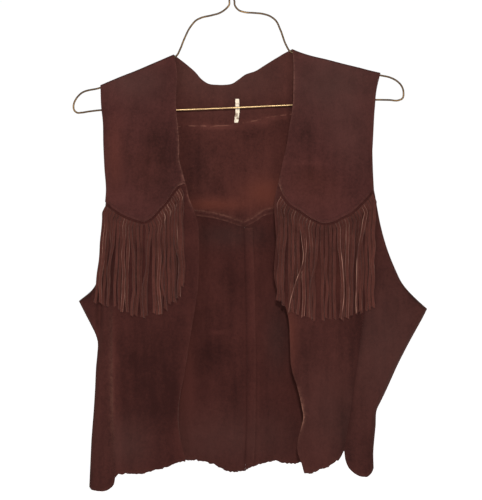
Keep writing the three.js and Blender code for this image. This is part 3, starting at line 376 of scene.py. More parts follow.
# Where the hide leans to rust (+) or to a grey brown (-), laid out in the same way. The grey brown on
# the yokes' and the inside's tops is a painted sheen; elsewhere both are the hide's own tone.
WARMTH_AND_SHEEN = {
    "yoke": [
        (-152, -290, 10, 50, 0.5), (-115, -305, 28, 36, 0.2), (-132, -192, 46, 30, -0.9),
        (130, -190, 60, 50, -1.0), (150, -270, 30, 50, -0.4), (112, -325, 46, 34, 0.3),
    ],
    "inside": [
        (-10, -180, 90, 45, -0.9), (-44, -300, 26, 40, -0.1), (45, -338, 30, 18, 1.0),
        (-26, -354, 44, 9, 0.9),
    ],
    "back": [
        (-5, -394, 50, 16, -0.5), (60, -528, 17, 42, -0.5), (-10, -660, 120, 36, -0.5),
        (200, -540, 60, 90, -0.6),
    ],
    "front": [
        (-140, -665, 36, 34, -0.6), (76, -520, 9, 46, 0.45), (126, -630, 44, 60, -0.4),
        (176, -650, 20, 50, -0.9), (130, -440, 50, 50, 0.3),
    ],
}

# Where a raw edge reads pale, laid out like the patches; "seam" holds for sewn edges on every layer
# and is a painted highlight where a seam catches the light, taking away its painted shade there.
# Elsewhere a raw edge has PALE_ANYWAY of that.
PALE_EDGES = {
    "yoke": [
        (-70, -280, 8, 42, 0.28), (-66, -322, 5, 7, 0.5), (79, -196, 6, 30, 0.3),
        (65, -331, 6, 8, 0.4),
    ],
    "front": [
        (-54, -347, 6, 16, 0.35), (92, -618, 8, 26, 0.7),
    ],
    "seam": [
        (-156, -590, 14, 90, 0.2),
    ],
    "inside": [
        (10, -364, 80, 12, 0.45),
    ],
    "back": [
        (10, -368, 80, 12, 0.35),
    ],
}
PALE_ANYWAY = 0.04


# ---------------------------------------------------------------- lines and tables
def curve(t):
    """Shares of a curve's two ends and of its two slopes there, as t goes from 0 to 1."""
    return 2 * t**3 - 3 * t**2 + 1, 3 * t**2 - 2 * t**3, t**3 - 2 * t**2 + t, t**3 - t**2


def smooth(points, corner=CORNER, parts=ROUND_PARTS):
    """A round line through the points, which keeps their sharp corners."""
    p = np.array(points, float)
    step = np.diff(p, axis=0)
    size = np.linalg.norm(step, axis=1)
    heading = step / size[:, None]
    leave, arrive = heading.copy(), heading.copy()
    for i in range(1, len(p) - 1):
        if heading[i - 1] @ heading[i] > math.cos(corner):
            mean = heading[i - 1] * size[i] + heading[i] * size[i - 1]
            leave[i] = arrive[i - 1] = mean / np.linalg.norm(mean)
    start, stop, out, into = curve((np.arange(parts) / parts)[:, None])
    rows = [
        p[i] * start + p[i + 1] * stop + leave[i] * size[i] * out + arrive[i] * size[i] * into
        for i in range(len(step))
    ]
    return np.vstack([*rows, p[-1:]])


def read(line, value, given, wanted):
    """One coordinate of a line where the other has a value."""
    rising = line if line[-1, given] > line[0, given] else line[::-1]
    return np.interp(value, rising[:, given], rising[:, wanted])


def x_at(line, z):
    return read(line, z, 1, 0)


def z_at(line, x):
    return read(line, x, 0, 1)


def lengths(line):
    """How far along a line each of its points lies."""
    return np.concatenate([[0.0], np.cumsum(np.linalg.norm(np.diff(line, axis=0), axis=1))])


def along(line, fractions):
    """Points at the given fractions of a line's length."""
    reach = lengths(line)
    goal = np.clip(fractions, 0, 1) * reach[-1]
    return np.stack([np.interp(goal, reach, line[:, k]) for k in range(line.shape[1])], axis=1)


def between(line, top, bottom, nearest=0.01):
    """The stretch of an outline between two heights."""
    inside = line[(line[:, 1] < top - nearest) & (line[:, 1] > bottom + nearest)]
    return np.vstack([[[x_at(line, top), top]], inside, [[x_at(line, bottom), bottom]]])


def moved(line, dx, dz):
    return line + np.array([dx, dz])


def ease(t):
    """From 0 to 1 with a soft start and end."""
    c = np.clip(t, 0, 1)
    return c * c * (3 - 2 * c)


def mix(a, b, t):
    """From a to b as t goes from 0 to 1."""
    return a + (b - a) * t


def graded(total, fine, coarse, growth):
    """Fractions of a length whose steps grow from fine to coarse."""
    marks, step = [0.0], fine
    while marks[-1] < total - coarse * 0.5:
        marks.append(marks[-1] + step)
        step = min(coarse, step * growth)
    return np.array(marks) / marks[-1]


def column(table, columns, z, name):
    """A table's column at height z, as a smooth curve through its rows."""
    rows = np.array(table, float)
    level, value = rows[:, 0], rows[:, columns.index(name)]
    last = len(level) - 1
    before = np.maximum(np.arange(last + 1) - 1, 0)
    after = np.minimum(np.arange(last + 1) + 1, last)
    slope = (value[after] - value[before]) / (level[after] - level[before])
    z = np.clip(z, level[-1], level[0])
    i = np.clip(np.searchsorted(-level, -z, side="right"), 1, last)
    span = level[i] - level[i - 1]
    start, stop, out, into = curve((z - level[i - 1]) / span)
    return (
        start * value[i - 1] + out * slope[i - 1] * span + stop * value[i] + into * slope[i] * span
    )


# Shares of a fold's length in which it starts and dies out, and how much is left at its end.
FADE = {"in": 0.3, "out": 0.25, "past": 0.35}


def troughs(table, layer, x, z):
    """What a table's folds or creases add to the depth of a layer at (x, z)."""
    total = np.zeros(np.shape(x))
    for x0, z0, x1, z1, half, depth in table[layer]:
        run = np.array([x1 - x0, z1 - z0], float)
        size = np.linalg.norm(run)
        t = ((x - x0) * run[0] + (z - z0) * run[1]) / size**2
        off = ((x - x0) * run[1] - (z - z0) * run[0]) / size / half
        fade = ease(t / FADE["in"]) * ease((1 - t) / FADE["out"] + FADE["past"])
        total = total + depth * fade * np.exp(-off * off)
    return total


def lumps(x, z, size, seed):
    """Smooth uneven ground from -1 to 1 whose hills are about size apart."""
    flat = [noise.noise((a / size, b / size, seed)) for a, b in zip(np.ravel(x), np.ravel(z))]
    return np.reshape(flat, np.shape(x))


# ---------------------------------------------------------------- the hanging surfaces
class Side:
    """One side of the vest: what is cut, and its edges from the shoulder down to the hem."""

    def __init__(self, cut, depth, outward):
        self.cut, self.depth, self.outward = cut, depth, outward
        yoke_arm, side = cut["yoke_arm"][:-1], smooth(cut["side"])
        self.edge = np.vstack([smooth(cut["yoke_front"]), smooth(cut["edge"])[1:]])
        self.seam = smooth([*yoke_arm, *cut["seam"]])
        self.side = np.vstack([smooth([*yoke_arm, *cut["wing_arm"]]), side[1:]])
        self.back = np.vstack([smooth(cut["back_arm"]), side[1:]])
        self.underarm = cut["side"][0][1]


SIDES = {"right": Side(RIGHT, FRONT_DEPTH_RIGHT, -1), "left": Side(LEFT, FRONT_DEPTH_LEFT, 1)}
SHOULDERS = np.vstack([smooth(RIGHT["shoulder"])[::-1], smooth(LEFT["shoulder"])])
CENTRE_LINE = smooth(CENTRE)
SEAM_LINE = smooth(BACK_SEAM)
SEAM_LOWEST = int(np.argmin(SEAM_LINE[:, 1]))


def over_wire(x, z, hanging):
    """Over the wire the cloth is an arc, then it falls away to its hanging depth."""
    down = z_at(SHOULDERS, x) - z
    rise = np.clip((SHOULDER_BEND - np.maximum(0, down)) / SHOULDER_BEND, 0, 1)
    arc = np.maximum(SEAM / 2, SHOULDER_BEND * np.sqrt(1 - rise * rise))
    fall = down - SHOULDER_BEND
    hung = mix(SHOULDER_BEND + SHOULDER_LEAN * fall, hanging, ease(fall / SHOULDER_FALL))
    return np.where(down < SHOULDER_BEND, arc, hung)


def turn(flat, at, distance, width):
    """The soft turn at the side, from the flat of a panel round to the side's own depth."""
    s = np.clip(distance / width, 0, 1)
    return mix(at, flat, np.sqrt(1 - (1 - s) ** 2))


# The hide's own unevenness: the seed of each layer, then the height and size of its hills.
GROUND_SEED = {"front": 3.1, "back": 17.7}
GROUND = {"broad": (0.55, 34), "small": (0.16, 9), "apart": 5, "starts": 4, "within": 16}


def relief(layer, x, z):
    """Creases and the hide's own unevenness. It dies out where the cloth bends over the wire."""
    down = z_at(SHOULDERS, x) - z
    seed = GROUND_SEED[layer]
    (height, size), (low_height, low_size) = GROUND["broad"], GROUND["small"]
    ground = height * lumps(x, z, size, seed)
    ground = ground + low_height * lumps(x, z, low_size, seed + GROUND["apart"])
    fade = ease((down - GROUND["starts"]) / GROUND["within"])
    return (troughs(CREASES, layer, x, z) + ground) * fade


def front_base(name, x, z, proud=0.0):
    """Depth of a front before its folds and the turn at its side."""
    s = SIDES[name]
    edge, seam = x_at(s.edge, z), x_at(s.seam, z)
    ye, ym, ys = (column(s.depth, FRONT_COLUMNS, z, key) for key in ("edge", "middle", "seam"))
    t = np.clip((x - edge) / (seam - edge), 0, 1)
    bow = ye * (1 - t) * (1 - 2 * t) + 4 * ym * t * (1 - t) + ys * t * (2 * t - 1)
    return -over_wire(x, z, proud - bow)


def front_depth(name, x, z):
    """Depth of a lower front's outer face, and of the wing beside it."""
    s = SIDES[name]
    base = front_base(name, x, z) + troughs(FOLDS, "front", x, z)
    distance = np.abs(x_at(s.side, z) - x)
    round_off = turn(base, column(s.depth, FRONT_COLUMNS, z, "side"), distance, SIDE_ROUND_FRONT)
    return mix(round_off, base, ease((z - s.underarm) / UNDERARM_BLEND))


BACK_CURVE = 0.75  # share of a back half's width in which it reaches its outer depth


def back_half(name, x, z):
    """Depth of one half of the back's outer face."""
    s = SIDES[name]
    centre, out = x_at(CENTRE_LINE, z), x_at(s.back, z)
    yc, yq, ys = (column(BACK_DEPTH, BACK_COLUMNS, z, key) for key in ("centre", "out", "side"))
    t = np.clip((x - centre) / (out - centre), 0, 1)
    flat = mix(yc, yq, ease(t / BACK_CURVE)) + troughs(FOLDS, "back", x, z)
    opened = mix(flat, ys, np.maximum(0, (t - BACK_FLAT) / (1 - BACK_FLAT)) ** 2)
    side = column(s.depth, FRONT_COLUMNS, z, "side")
    round_off = turn(flat, side, np.abs(out - x), SIDE_ROUND_BACK)
    return over_wire(x, z, mix(round_off, opened, ease((z - s.underarm) / UNDERARM_BLEND)))


def back_depth(x, z):
    """Depth of the back's outer face."""
    left = x > x_at(CENTRE_LINE, z)
    return np.where(left, back_half("left", x, z), back_half("right", x, z))


def yoke_face(name, x, z):
    """Depth of a front yoke's face with its creases."""
    return front_base(name, x, z, YOKE_PROUD) + relief("front", x, z)


def back_face(x, z):
    """Depth of the back's outer face with its creases."""
    return back_depth(x, z) + relief("back", x, z)


# ---------------------------------------------------------------- panels
BEND_STEP = 0.25  # a panel's first step where it bends over the wire
TURN_STEP = 0.35  # and where it turns at the side
BEND_GROWTH, BACK_GROWTH, WING_GROWTH = 1.35, 1.2, 1.25  # how its next steps grow
BACK_YOKE_HEIGHT = 160.0
SAME_POINT = 0.02  # points nearer than this are one
CREASE_ANGLE = math.radians(50)  # a sharper edge than this stays sharp
FRONT_JAG, BACK_JAG, WING_JAG = 1.5, 1.6, 0.35  # how far a raw hem is cut off its line
FRONT_SEED, BACK_SEED, WING_SEED = 4.0, 9.0, 12.0  # what its jags start from
STRIP_WAVE, STRIP_WAVE_SIZE, STRIP_SEED = 0.25, 7.0, 2.0  # a strip's free edge: its lift and size


def patch(top, bottom, left, right, u, v):
    """A four-sided patch of (x, z), filled in between its four edges, as rows from the top."""
    a, b = left.copy(), right.copy()
    a[0], a[-1], b[0], b[-1] = top[0], bottom[0], top[-1], bottom[-1]
    u, v = u[None, :, None], v[:, None, None]
    corners = (
        (1 - u) * (1 - v) * top[0] + u * (1 - v) * top[-1]
        + (1 - u) * v * bottom[0] + u * v * bottom[-1]
    )
    return (
        (1 - v) * top[None] + v * bottom[None] + (1 - u) * a[:, None] + u * b[:, None] - corners
    )


JAGS = [(1.0, 3.5), (0.5, 1.9), (0.6, 9.0)]  # a raw hem's jags: their share and their size
JAG_ROWS = (1.0, 0.5, 0.2)  # how much of a jag the last rows of a panel take, hem first


def ragged(grid, amount, seed):
    """The last rows of a patch, cut unevenly by hand."""
    out = grid.copy()
    x, z = grid[-1, :, 0], grid[-1, :, 1]
    jag = sum(share * lumps(x, z, size, seed + k) for k, (share, size) in enumerate(JAGS))
    for back, share in enumerate(JAG_ROWS):
        out[-1 - back, :, 1] += amount * jag * share
    return out


def is_sewn(x, z):
    """Whether a place on a panel's rim lies in a seam, and not on a raw edge."""
    return any(reach.find((x, 0, z))[2] < SEWN_REACH for reach in SEWN)


def tree_of(line):
    """The places along a line, about a millimetre apart, ready to be searched."""
    places = along(line, np.linspace(0, 1, int(lengths(line)[-1]) + 2))
    tree = KDTree(len(places))
    for i, (x, z) in enumerate(places):
        tree.insert((x, 0, z), i)
    tree.balance()
    return tree


SEWN_REACH = 1.4
SEWN = [tree_of(smooth(line)) for line in (RIGHT["seam"], LEFT["seam"], CENTRE)]
EDGE_FADE = 1.3  # how far in from a raw edge it reads worn
SEAM_SHADE_FADE = 2.2  # and from a seam that draws it together, how far its painted shade reaches


def new_piece(name, points, faces, finish):
    """A piece in the scene from its points in metres, its faces and its materials."""
    mesh = bpy.data.meshes.new(name)
    mesh.from_pydata(points, [], faces)
    for material in finish:
        mesh.materials.append(material)
    piece = bpy.data.objects.new(name, mesh)
    bpy.context.scene.collection.objects.link(piece)
    return piece


def cloth(name, grids, outward, finish, layer):
    """A thin shell of cloth from grids of outer points. Grids that share points become one."""
    points, faces = [], []
    for x, y, z in grids:
        rows, columns = x.shape
        first = len(points)
        points += np.stack([x, y, z], axis=-1).reshape(-1, 3).tolist()
        for j in range(rows - 1):
            for i in range(columns - 1):
                a = first + j * columns + i
                faces.append((a, a + columns, a + columns + 1, a + 1))
    piece = new_piece(name, [[c * MM for c in point] for point in points], faces, finish)
    bm = bmesh.new()
    bm.from_mesh(piece.data)
    bmesh.ops.remove_doubles(bm, verts=bm.verts, dist=SAME_POINT * MM)
    bm.faces.ensure_lookup_table()
    if bm.faces[0].normal.y * outward < 0:
        bmesh.ops.reverse_faces(bm, faces=bm.faces)
    rub(bm, layer)
    bm.to_mesh(piece.data)
    bm.free()
    return piece


def rub(bm, layer):
    """Marks a shell's points with wear, seams, tone, warmth and painted light and shade."""
    rim = [v.co.copy() for v in bm.verts if v.is_boundary]
    sewn_rim = [co for co in rim if is_sewn(co.x / MM, co.z / MM)]
    raw_rim = [co for co in rim if not is_sewn(co.x / MM, co.z / MM)]
    for key, places, fade in (("edge", raw_rim, EDGE_FADE), ("seam", sewn_rim, SEAM_SHADE_FADE)):
        near = KDTree(len(places))
        for i, co in enumerate(places):
            near.insert(co, i)
        near.balance()
        mark = bm.verts.layers.float.new(key)
        for v in bm.verts:
            if places:
                v[mark] = math.exp(-near.find(v.co)[2] / (fade * MM))
    for key in ("tone", "warm"):
        bm.verts.layers.float.new(key)
    edge, seam, tone, warm = (bm.verts.layers.float[k] for k in ("edge", "seam", "tone", "warm"))
    for v in bm.verts:
        x, z = v.co.x / MM, v.co.z / MM
        v[tone] = patches_at(TONE_LIGHT_AND_SHADE, layer, x, z)
        v[warm] = patches_at(WARMTH_AND_SHEEN, layer, x, z)
        v[edge] *= PALE_ANYWAY + patches_at(PALE_EDGES, layer, x, z)
        # A painted highlight where a seam catches the light, in place of its painted shade.
        lit = patches_at(PALE_EDGES, "seam", x, z)
        v[edge] = max(v[edge], lit * v[seam])
        v[seam] *= 1 - min(1, 2 * lit)


def patches_at(table, layer, x, z):
    """What a table of patches adds up to on a layer at (x, z)."""
    total = 0.0
    for px, pz, half, high, amount in table.get(layer, ()):
        total += amount * math.exp(-(((x - px) / half) ** 2) - ((z - pz) / high) ** 2)
    return total


def only(piece):
    """Selects one piece and makes it the active one."""
    bpy.ops.object.select_all(action="DESELECT")
    bpy.context.view_layer.objects.active = piece
    piece.select_set(True)


def thicken(piece, wall):
    """Gives a shell its wall inwards, with the cut edge and the inside in their own finish."""
    only(piece)
    solid = piece.modifiers.new("wall", "SOLIDIFY")
    solid.thickness = wall * MM
    solid.offset = -1
    solid.material_offset_rim = 1
    solid.material_offset = 2
    bpy.ops.object.modifier_apply(modifier="wall")
    bpy.ops.object.shade_smooth_by_angle(angle=CREASE_ANGLE)
    return piece


def front_yoke(name, finish):
    """A front yoke, with short rows where it bends over the wire."""
    keys = ("shoulder", "yoke_low", "yoke_front", "yoke_arm")
    shoulder, low, front, arm = (smooth(SIDES[name].cut[key]) for key in keys)
    u = np.linspace(0, 1, round(lengths(low)[-1] / ACROSS) + 1)
    v = graded(lengths(arm)[-1], BEND_STEP, COARSE, BEND_GROWTH)
    grid = patch(along(shoulder, u), along(low, u), along(front, v), along(arm, v), u, v)
    x, z = grid[..., 0], grid[..., 1]
    y = yoke_face(name, x, z)
    return thicken(cloth(f"yoke_{name}", [(x, y, z)], -1, finish, "yoke"), SUEDE)


def front_lower(name, finish):
    """A lower front, from its lap behind the yoke to its raw hem."""
    s = SIDES[name]
    inward = -s.outward
    edge, seam, hem = s.cut["edge"], s.cut["seam"], s.cut["hem_front"]
    top = moved(np.array(s.cut["yoke_low"], float), 0, LAP["height"])
    top[0] = (
        edge[0][0] - inward * LAP["edge_in"],
        edge[0][1] + LAP["height"] - LAP["edge_drop"],
    )
    top[-1] = (
        seam[0][0] + inward * LAP["seam_in"],
        seam[0][1] + LAP["height"] - LAP["seam_drop"],
    )
    joined = moved(smooth([top[-1], *seam]), inward * PANEL_GAP / 2, 0)
    top[-1] = joined[0]
    bottom = np.vstack([smooth(hem)[:-1], joined[-1:]])
    u = np.linspace(0, 1, round(lengths(bottom)[-1] / ACROSS) + 1)
    v = np.linspace(0, 1, round(lengths(joined)[-1] / COARSE) + 1)
    free = smooth([top[0], *edge])
    grid = patch(along(smooth(top), u), along(bottom, u), along(free, v), along(joined, v), u, v)
    grid = ragged(grid, FRONT_JAG, FRONT_SEED + inward)
    x, z = grid[..., 0], grid[..., 1]
    y = front_depth(name, x, z) + relief("front", x, z)
    return thicken(cloth(f"front_{name}", [(x, y, z)], -1, finish, "front"), SUEDE)


def back_yoke(finish):
    """The back yoke, cut in one, with columns that start at the two neck corners."""
    lines = [smooth(RIGHT["shoulder"])[::-1], smooth(NECK_BACK), smooth(LEFT["shoulder"])]
    stops = [SEAM_LINE[0, 0], NECK_BACK[0][0], NECK_BACK[-1][0], SEAM_LINE[-1, 0]]
    top, low = [], []
    for k, line in enumerate(lines):
        count = round((stops[k + 1] - stops[k]) / ACROSS)
        share = np.linspace(0, 1, count + 1)[0 if k == 0 else 1:]
        x = mix(stops[k], stops[k + 1], share)
        top.append(along(line, share))
        low.append(np.stack([x, z_at(SEAM_LINE, x) + SEAM / 2], axis=1))
    top, low = np.vstack(top), np.vstack(low)
    u = (top[:, 0] - top[0, 0]) / (top[-1, 0] - top[0, 0])
    v = graded(BACK_YOKE_HEIGHT, BEND_STEP, COARSE, BEND_GROWTH)
    right, left = (
        between(smooth(side.cut["back_arm"]), side.cut["back_arm"][0][1], corner)
        for side, corner in zip(SIDES.values(), (low[0, 1], low[-1, 1]))
    )
    grid = patch(top, low, along(right, v), along(left, v), u, v)
    x, z = grid[..., 0], grid[..., 1]
    y = back_face(x, z)
    return thicken(cloth("yoke_back", [(x, y, z)], 1, finish, "inside"), SUEDE)


def back_lower(name, finish):
    """The lower back and its wing round the side, which share the fold below the underarm."""
    s = SIDES[name]
    gap = s.outward * PANEL_GAP / 2
    side_line, arm_line = smooth(s.cut["side"]), smooth(s.cut["back_arm"])
    underarm = side_line[0]
    centre, side_seam = moved(CENTRE_LINE, gap, 0), moved(smooth(s.cut["seam"]), gap, 0)
    middle = np.array([[x_at(centre, underarm[1]), underarm[1]], underarm])
    chest = np.array([underarm, [x_at(side_seam, underarm[1]), underarm[1]]])
    half = SEAM_LINE[SEAM_LOWEST:] if name == "left" else SEAM_LINE[SEAM_LOWEST::-1]
    top, hem = moved(half, 0, -SEAM / 2), smooth(s.cut["hem_back"])
    top[0, 0] += gap
    hem[0, 0] += gap
    u = 1 - graded(lengths(middle)[-1], TURN_STEP, ACROSS, BACK_GROWTH)[::-1]
    upper = np.linspace(0, 1, round((top[0, 1] - underarm[1]) / COARSE) + 1)
    lower = np.linspace(0, 1, round((underarm[1] - side_line[-1, 1]) / COARSE) + 1)
    back_top = patch(
        along(top, u), along(middle, u), along(between(centre, top[0, 1], underarm[1]), upper),
        along(between(arm_line, top[-1, 1], underarm[1]), upper), u, upper,
    )
    back_low = patch(
        along(middle, u), along(hem, u), along(between(centre, underarm[1], hem[0, 1]), lower),
        along(side_line, lower), u, lower,
    )
    w = graded(lengths(chest)[-1], TURN_STEP, ACROSS, WING_GROWTH)
    wing_line, wing_hem = smooth(s.cut["wing_arm"]), smooth(s.cut["hem_wing"])
    wing_top = patch(
        along(np.array([wing_line[0], side_seam[0]]), w), along(chest, w), along(wing_line, upper),
        along(between(side_seam, side_seam[0, 1], underarm[1]), upper), w, upper,
    )
    wing_low = patch(
        along(chest, w), along(np.vstack([wing_hem[:-1], side_seam[-1:]]), w),
        along(side_line, lower), along(between(side_seam, underarm[1], side_seam[-1, 1]), lower),
        w, lower,
    )
    back = ragged(np.vstack([back_top[:-1], back_low]), BACK_JAG, BACK_SEED + s.outward)
    wing = np.vstack([wing_top[:-1], ragged(wing_low, WING_JAG, WING_SEED)])
    xb, zb = back[..., 0], back[..., 1]
    yb = back_depth(xb, zb)
    away = ease(np.abs(x_at(s.back, zb) - xb) / SIDE_ROUND_BACK)
    yb = yb + relief("back", xb, zb) * away
    xw, zw = wing[..., 0], wing[..., 1]
    apart = ease(np.abs(x_at(s.side, zw) - xw) / SIDE_ROUND_FRONT)
    yw = front_depth(name, xw, zw) + relief("front", xw, zw) * apart
    shared = len(upper) - 1
    for rows_b, rows_w in ((xb, xw), (yb, yw), (zb, zw)):
        rows_w[shared:, 0] = rows_b[shared:, -1]
    return thicken(cloth(f"back_{name}", [(xb, yb, zb), (xw, yw, zw)], 1, finish, "back"), SUEDE)


def inside_strip(name, top, bottom, steps, wall, finish, layer):
    """A strip that lies against the inside of the back, made from the back's own points."""
    u, v = (np.linspace(0, 1, count + 1) for count in steps)
    a, b = along(top, u), along(bottom, u)
    grid = mix(a[None], b[None], v[:, None, None])
    x, z = grid[..., 0], grid[..., 1]
    wave = STRIP_WAVE * lumps(x, z, STRIP_WAVE_SIZE, STRIP_SEED) * v[:, None]
    y = back_face(x, z) - SUEDE - ALLOWANCE["lift"] - np.abs(wave)
    return thicken(cloth(name, [(x, y, z)], 1, finish, layer), wall)


# ---------------------------------------------------------------- fringe
# Its reach along the yoke, how far its ends fan out, where it nears the vest's front edge, and the
# strands in front of the rest: which, their sideways drift a third, two thirds and all the way
# down, their twist in degrees.
FRINGES = {
    "right": {
        "reach": (-162.0, -68.0), "count": 29, "fan_out": -13.0, "fan_in": 4.0,
        "by_edge": (0.64, 1.0),
        "forward": [
            (4, -3, -5, -4, 30), (9, 4, 5, 2, -35), (14, -4, -9, -8, 40), (19, 2, -2, 3, -50),
            (25, -2, 3, 0, 45),
        ],
    },
    "left": {
        "reach": (66.0, 180.5), "count": 32, "fan_out": -2.0, "fan_in": -1.2,
        "by_edge": (0.0, 0.36),
        "forward": [
            (3, -3, -5, -4, 30), (8, 4, -6, -15, 55), (13, -4, -9, -8, 40), (18, 3, 6, 3, -40),
            (23, -2, -3, -3, -30), (27, -7, -10, -9, 50),
        ],
    },
}
# A strand's section, as shares of half its width and half its thickness: flat faces with their
# cut edges taken off.
SECTION = [
    (-1, 0.4), (-0.86, 1), (0.86, 1), (1, 0.4), (1, -0.4), (0.86, -1), (-0.86, -1), (-1, -0.4),
]
FLAT_SIDES = (1, 5)
BESIDE = 0.025  # share of the fringe to both sides of a root that gives the slope there
STRAND_RINGS = 38
TOWARDS_ROOT = 1.4  # how much closer together they lie where a strand bends most
ROOT_SHARE = 0.2  # share of a strand's length in which its root can glint
# What chance draws for each strand, from and to: the length of its waves and how far they go
# sideways and outwards, in millimetres; its curl and the turn of its root, in degrees; its width
# and thickness as shares; the slant of its cut end in millimetres; how pale its root glints.
DRAWN = {
    "wave": (12, 24), "sideways": (0.3, 0.95), "outwards": (0.1, 0.3), "curl": (2, 16),
    "root_turn": (-60, 60), "width": (1.0, 1.2), "thickness": (0.6, 0.9), "slant": (-1.4, 1.4),
    "glint": (0.0, 0.8),
}
STRIP_STEPS = 60
STRAND_ANGLE = math.radians(35)  # a strand's sharper edges stay sharp


def tube_faces(first, rings, sides):
    """The faces of a closed tube whose rings of points follow each other from the first one."""
    faces = []
    for k in range(rings - 1):
        for s in range(sides):
            t = (s + 1) % sides
            a, b = first + k * sides, first + (k + 1) * sides
            faces.append((a + s, b + s, b + t, a + t))
    last = first + (rings - 1) * sides
    faces.append(tuple(range(first, first + sides)))
    faces.append(tuple(reversed(range(last, last + sides))))
    return faces


def face_out(piece):
    """Turns all faces of a closed piece outwards."""
    only(piece)
    bpy.ops.object.mode_set(mode="EDIT")
    bpy.ops.mesh.select_all(action="SELECT")
    bpy.ops.mesh.normals_make_consistent(inside=False)
    bpy.ops.object.mode_set(mode="OBJECT")


def in_front(name, x, z, out):
    """Depth of a point that lies `out` in front of the cloth under the fringe."""
    return np.minimum(front_base(name, x, z), front_depth(name, x, z)) - out


def differing(i, much, step, start):
    """How much strand i differs from a middling one."""
    return much * math.sin(step * i + start)


def strand_stages(i, plan, line, ends):
    """Down, aside, away from the cloth and plumb share along a strand, with its root and twist."""
    front = next((row for row in plan["forward"] if row[0] == i), None)
    out = LAYER[2 if front else i % 2]
    u = (i + 0.5) / plan["count"]
    (xr, zr), (xa, za), (xb, zb) = along(line, [u, u - BESIDE, u + BESIDE])
    slope = math.atan2(zb - za, xb - xa)
    fan = 2 * u - 1
    spread = plan["fan_out"] * max(0, -fan) ** 2 + plan["fan_in"] * max(0, fan) ** 2
    if front:
        third, two_thirds, end, twist = front[1:]
    else:
        third, two_thirds, end = (differing(i, *way) for way in SWAY)
        twist = differing(i, *TWIST)
    fall = zr - z_at(ends, xr + spread + end) + differing(i, *UNEVEN)
    stages = [
        (ROOT["bend"], 0, ROOT["grip"], 0),
        (ROOT["drop"], 0.08 * spread, mix(ROOT["grip"], out, 0.62), 0.7),
        (ROOT["plumb"], 0.25 * spread + 0.4 * third, out, 1),
        (0.44 * fall, 0.45 * spread + third, out + 0.3, 1),
        (0.68 * fall, 0.72 * spread + two_thirds, out + 0.1, 1),
        (0.86 * fall, 0.88 * spread + mix(two_thirds, end, 0.6), out - 0.1, 1),
        (fall, spread + end, out - 0.3, 1),
    ]
    return np.array(stages, float), (xr, zr), slope, twist


def by_front_edge(i, plan):
    """Whether a strand hangs in the third of the fringe that lies by the vest's front edge."""
    start, stop = plan["by_edge"]
    return start < (i + 0.5) / plan["count"] < stop


def strand(name, i, plan, line, ends, chance):
    """A strand's rings of points in millimetres, root first."""
    stages, (xr, zr), slope, twist = strand_stages(i, plan, line, ends)
    spaced = np.linspace(0, 1, STRAND_RINGS) ** TOWARDS_ROOT
    down, side, away, plumb = along(smooth(stages, corner=math.pi), spaced).T
    share = down / down[-1]
    wave, phase = chance.uniform(*DRAWN["wave"]), chance.uniform(0, 6.28)
    loose = ease((down - 12) / 30)
    sideways, outwards = chance.uniform(*DRAWN["sideways"]), chance.uniform(*DRAWN["outwards"])
    side = side + sideways * np.sin(down / wave * 2 + phase) * loose
    away = away + outwards * np.sin(down / wave * 2.6 + 2 * phase) * loose
    shift = np.minimum(down, ROOT["turn"]) * math.sin(slope) * mix(1, 0.55, plumb)
    x = xr + shift + side
    z = zr - down * np.where(plumb < 0.01, math.cos(slope), 1)
    y = in_front(name, x, z, away) + relief("front", x, z)
    curl = math.radians(chance.choice([-1, 1]) * chance.uniform(*DRAWN["curl"]))
    turned = math.radians(twist) * ease(share * 2) + curl * ease(share * 1.6 - 0.15)
    if by_front_edge(i, plan):
        at_root = np.exp(-(((share - 0.11) / 0.06) ** 2))
        turned = turned + math.radians(chance.uniform(*DRAWN["root_turn"])) * at_root
    lean = slope * (1 - plumb)
    half = STRAND["width"] / 2 * chance.uniform(*DRAWN["width"]) * (1 - 0.14 * ease(share * 3 - 2))
    half = half * (1 + 0.06 * np.sin(down / 9 + phase))
    thick = STRAND["thickness"] / 2 * chance.uniform(*DRAWN["thickness"])
    slant = chance.uniform(*DRAWN["slant"]) * (share > 0.995)
    rings = []
    for p, q in SECTION:
        rings.append(np.stack([
            x + p * half * np.cos(lean) * np.cos(turned) + q * thick * np.sin(turned),
            y + p * half * np.sin(turned) - q * thick * np.cos(turned),
            z + p * half * np.sin(lean) * np.cos(turned) + p * slant,
        ], axis=1))
    return np.stack(rings, axis=1)


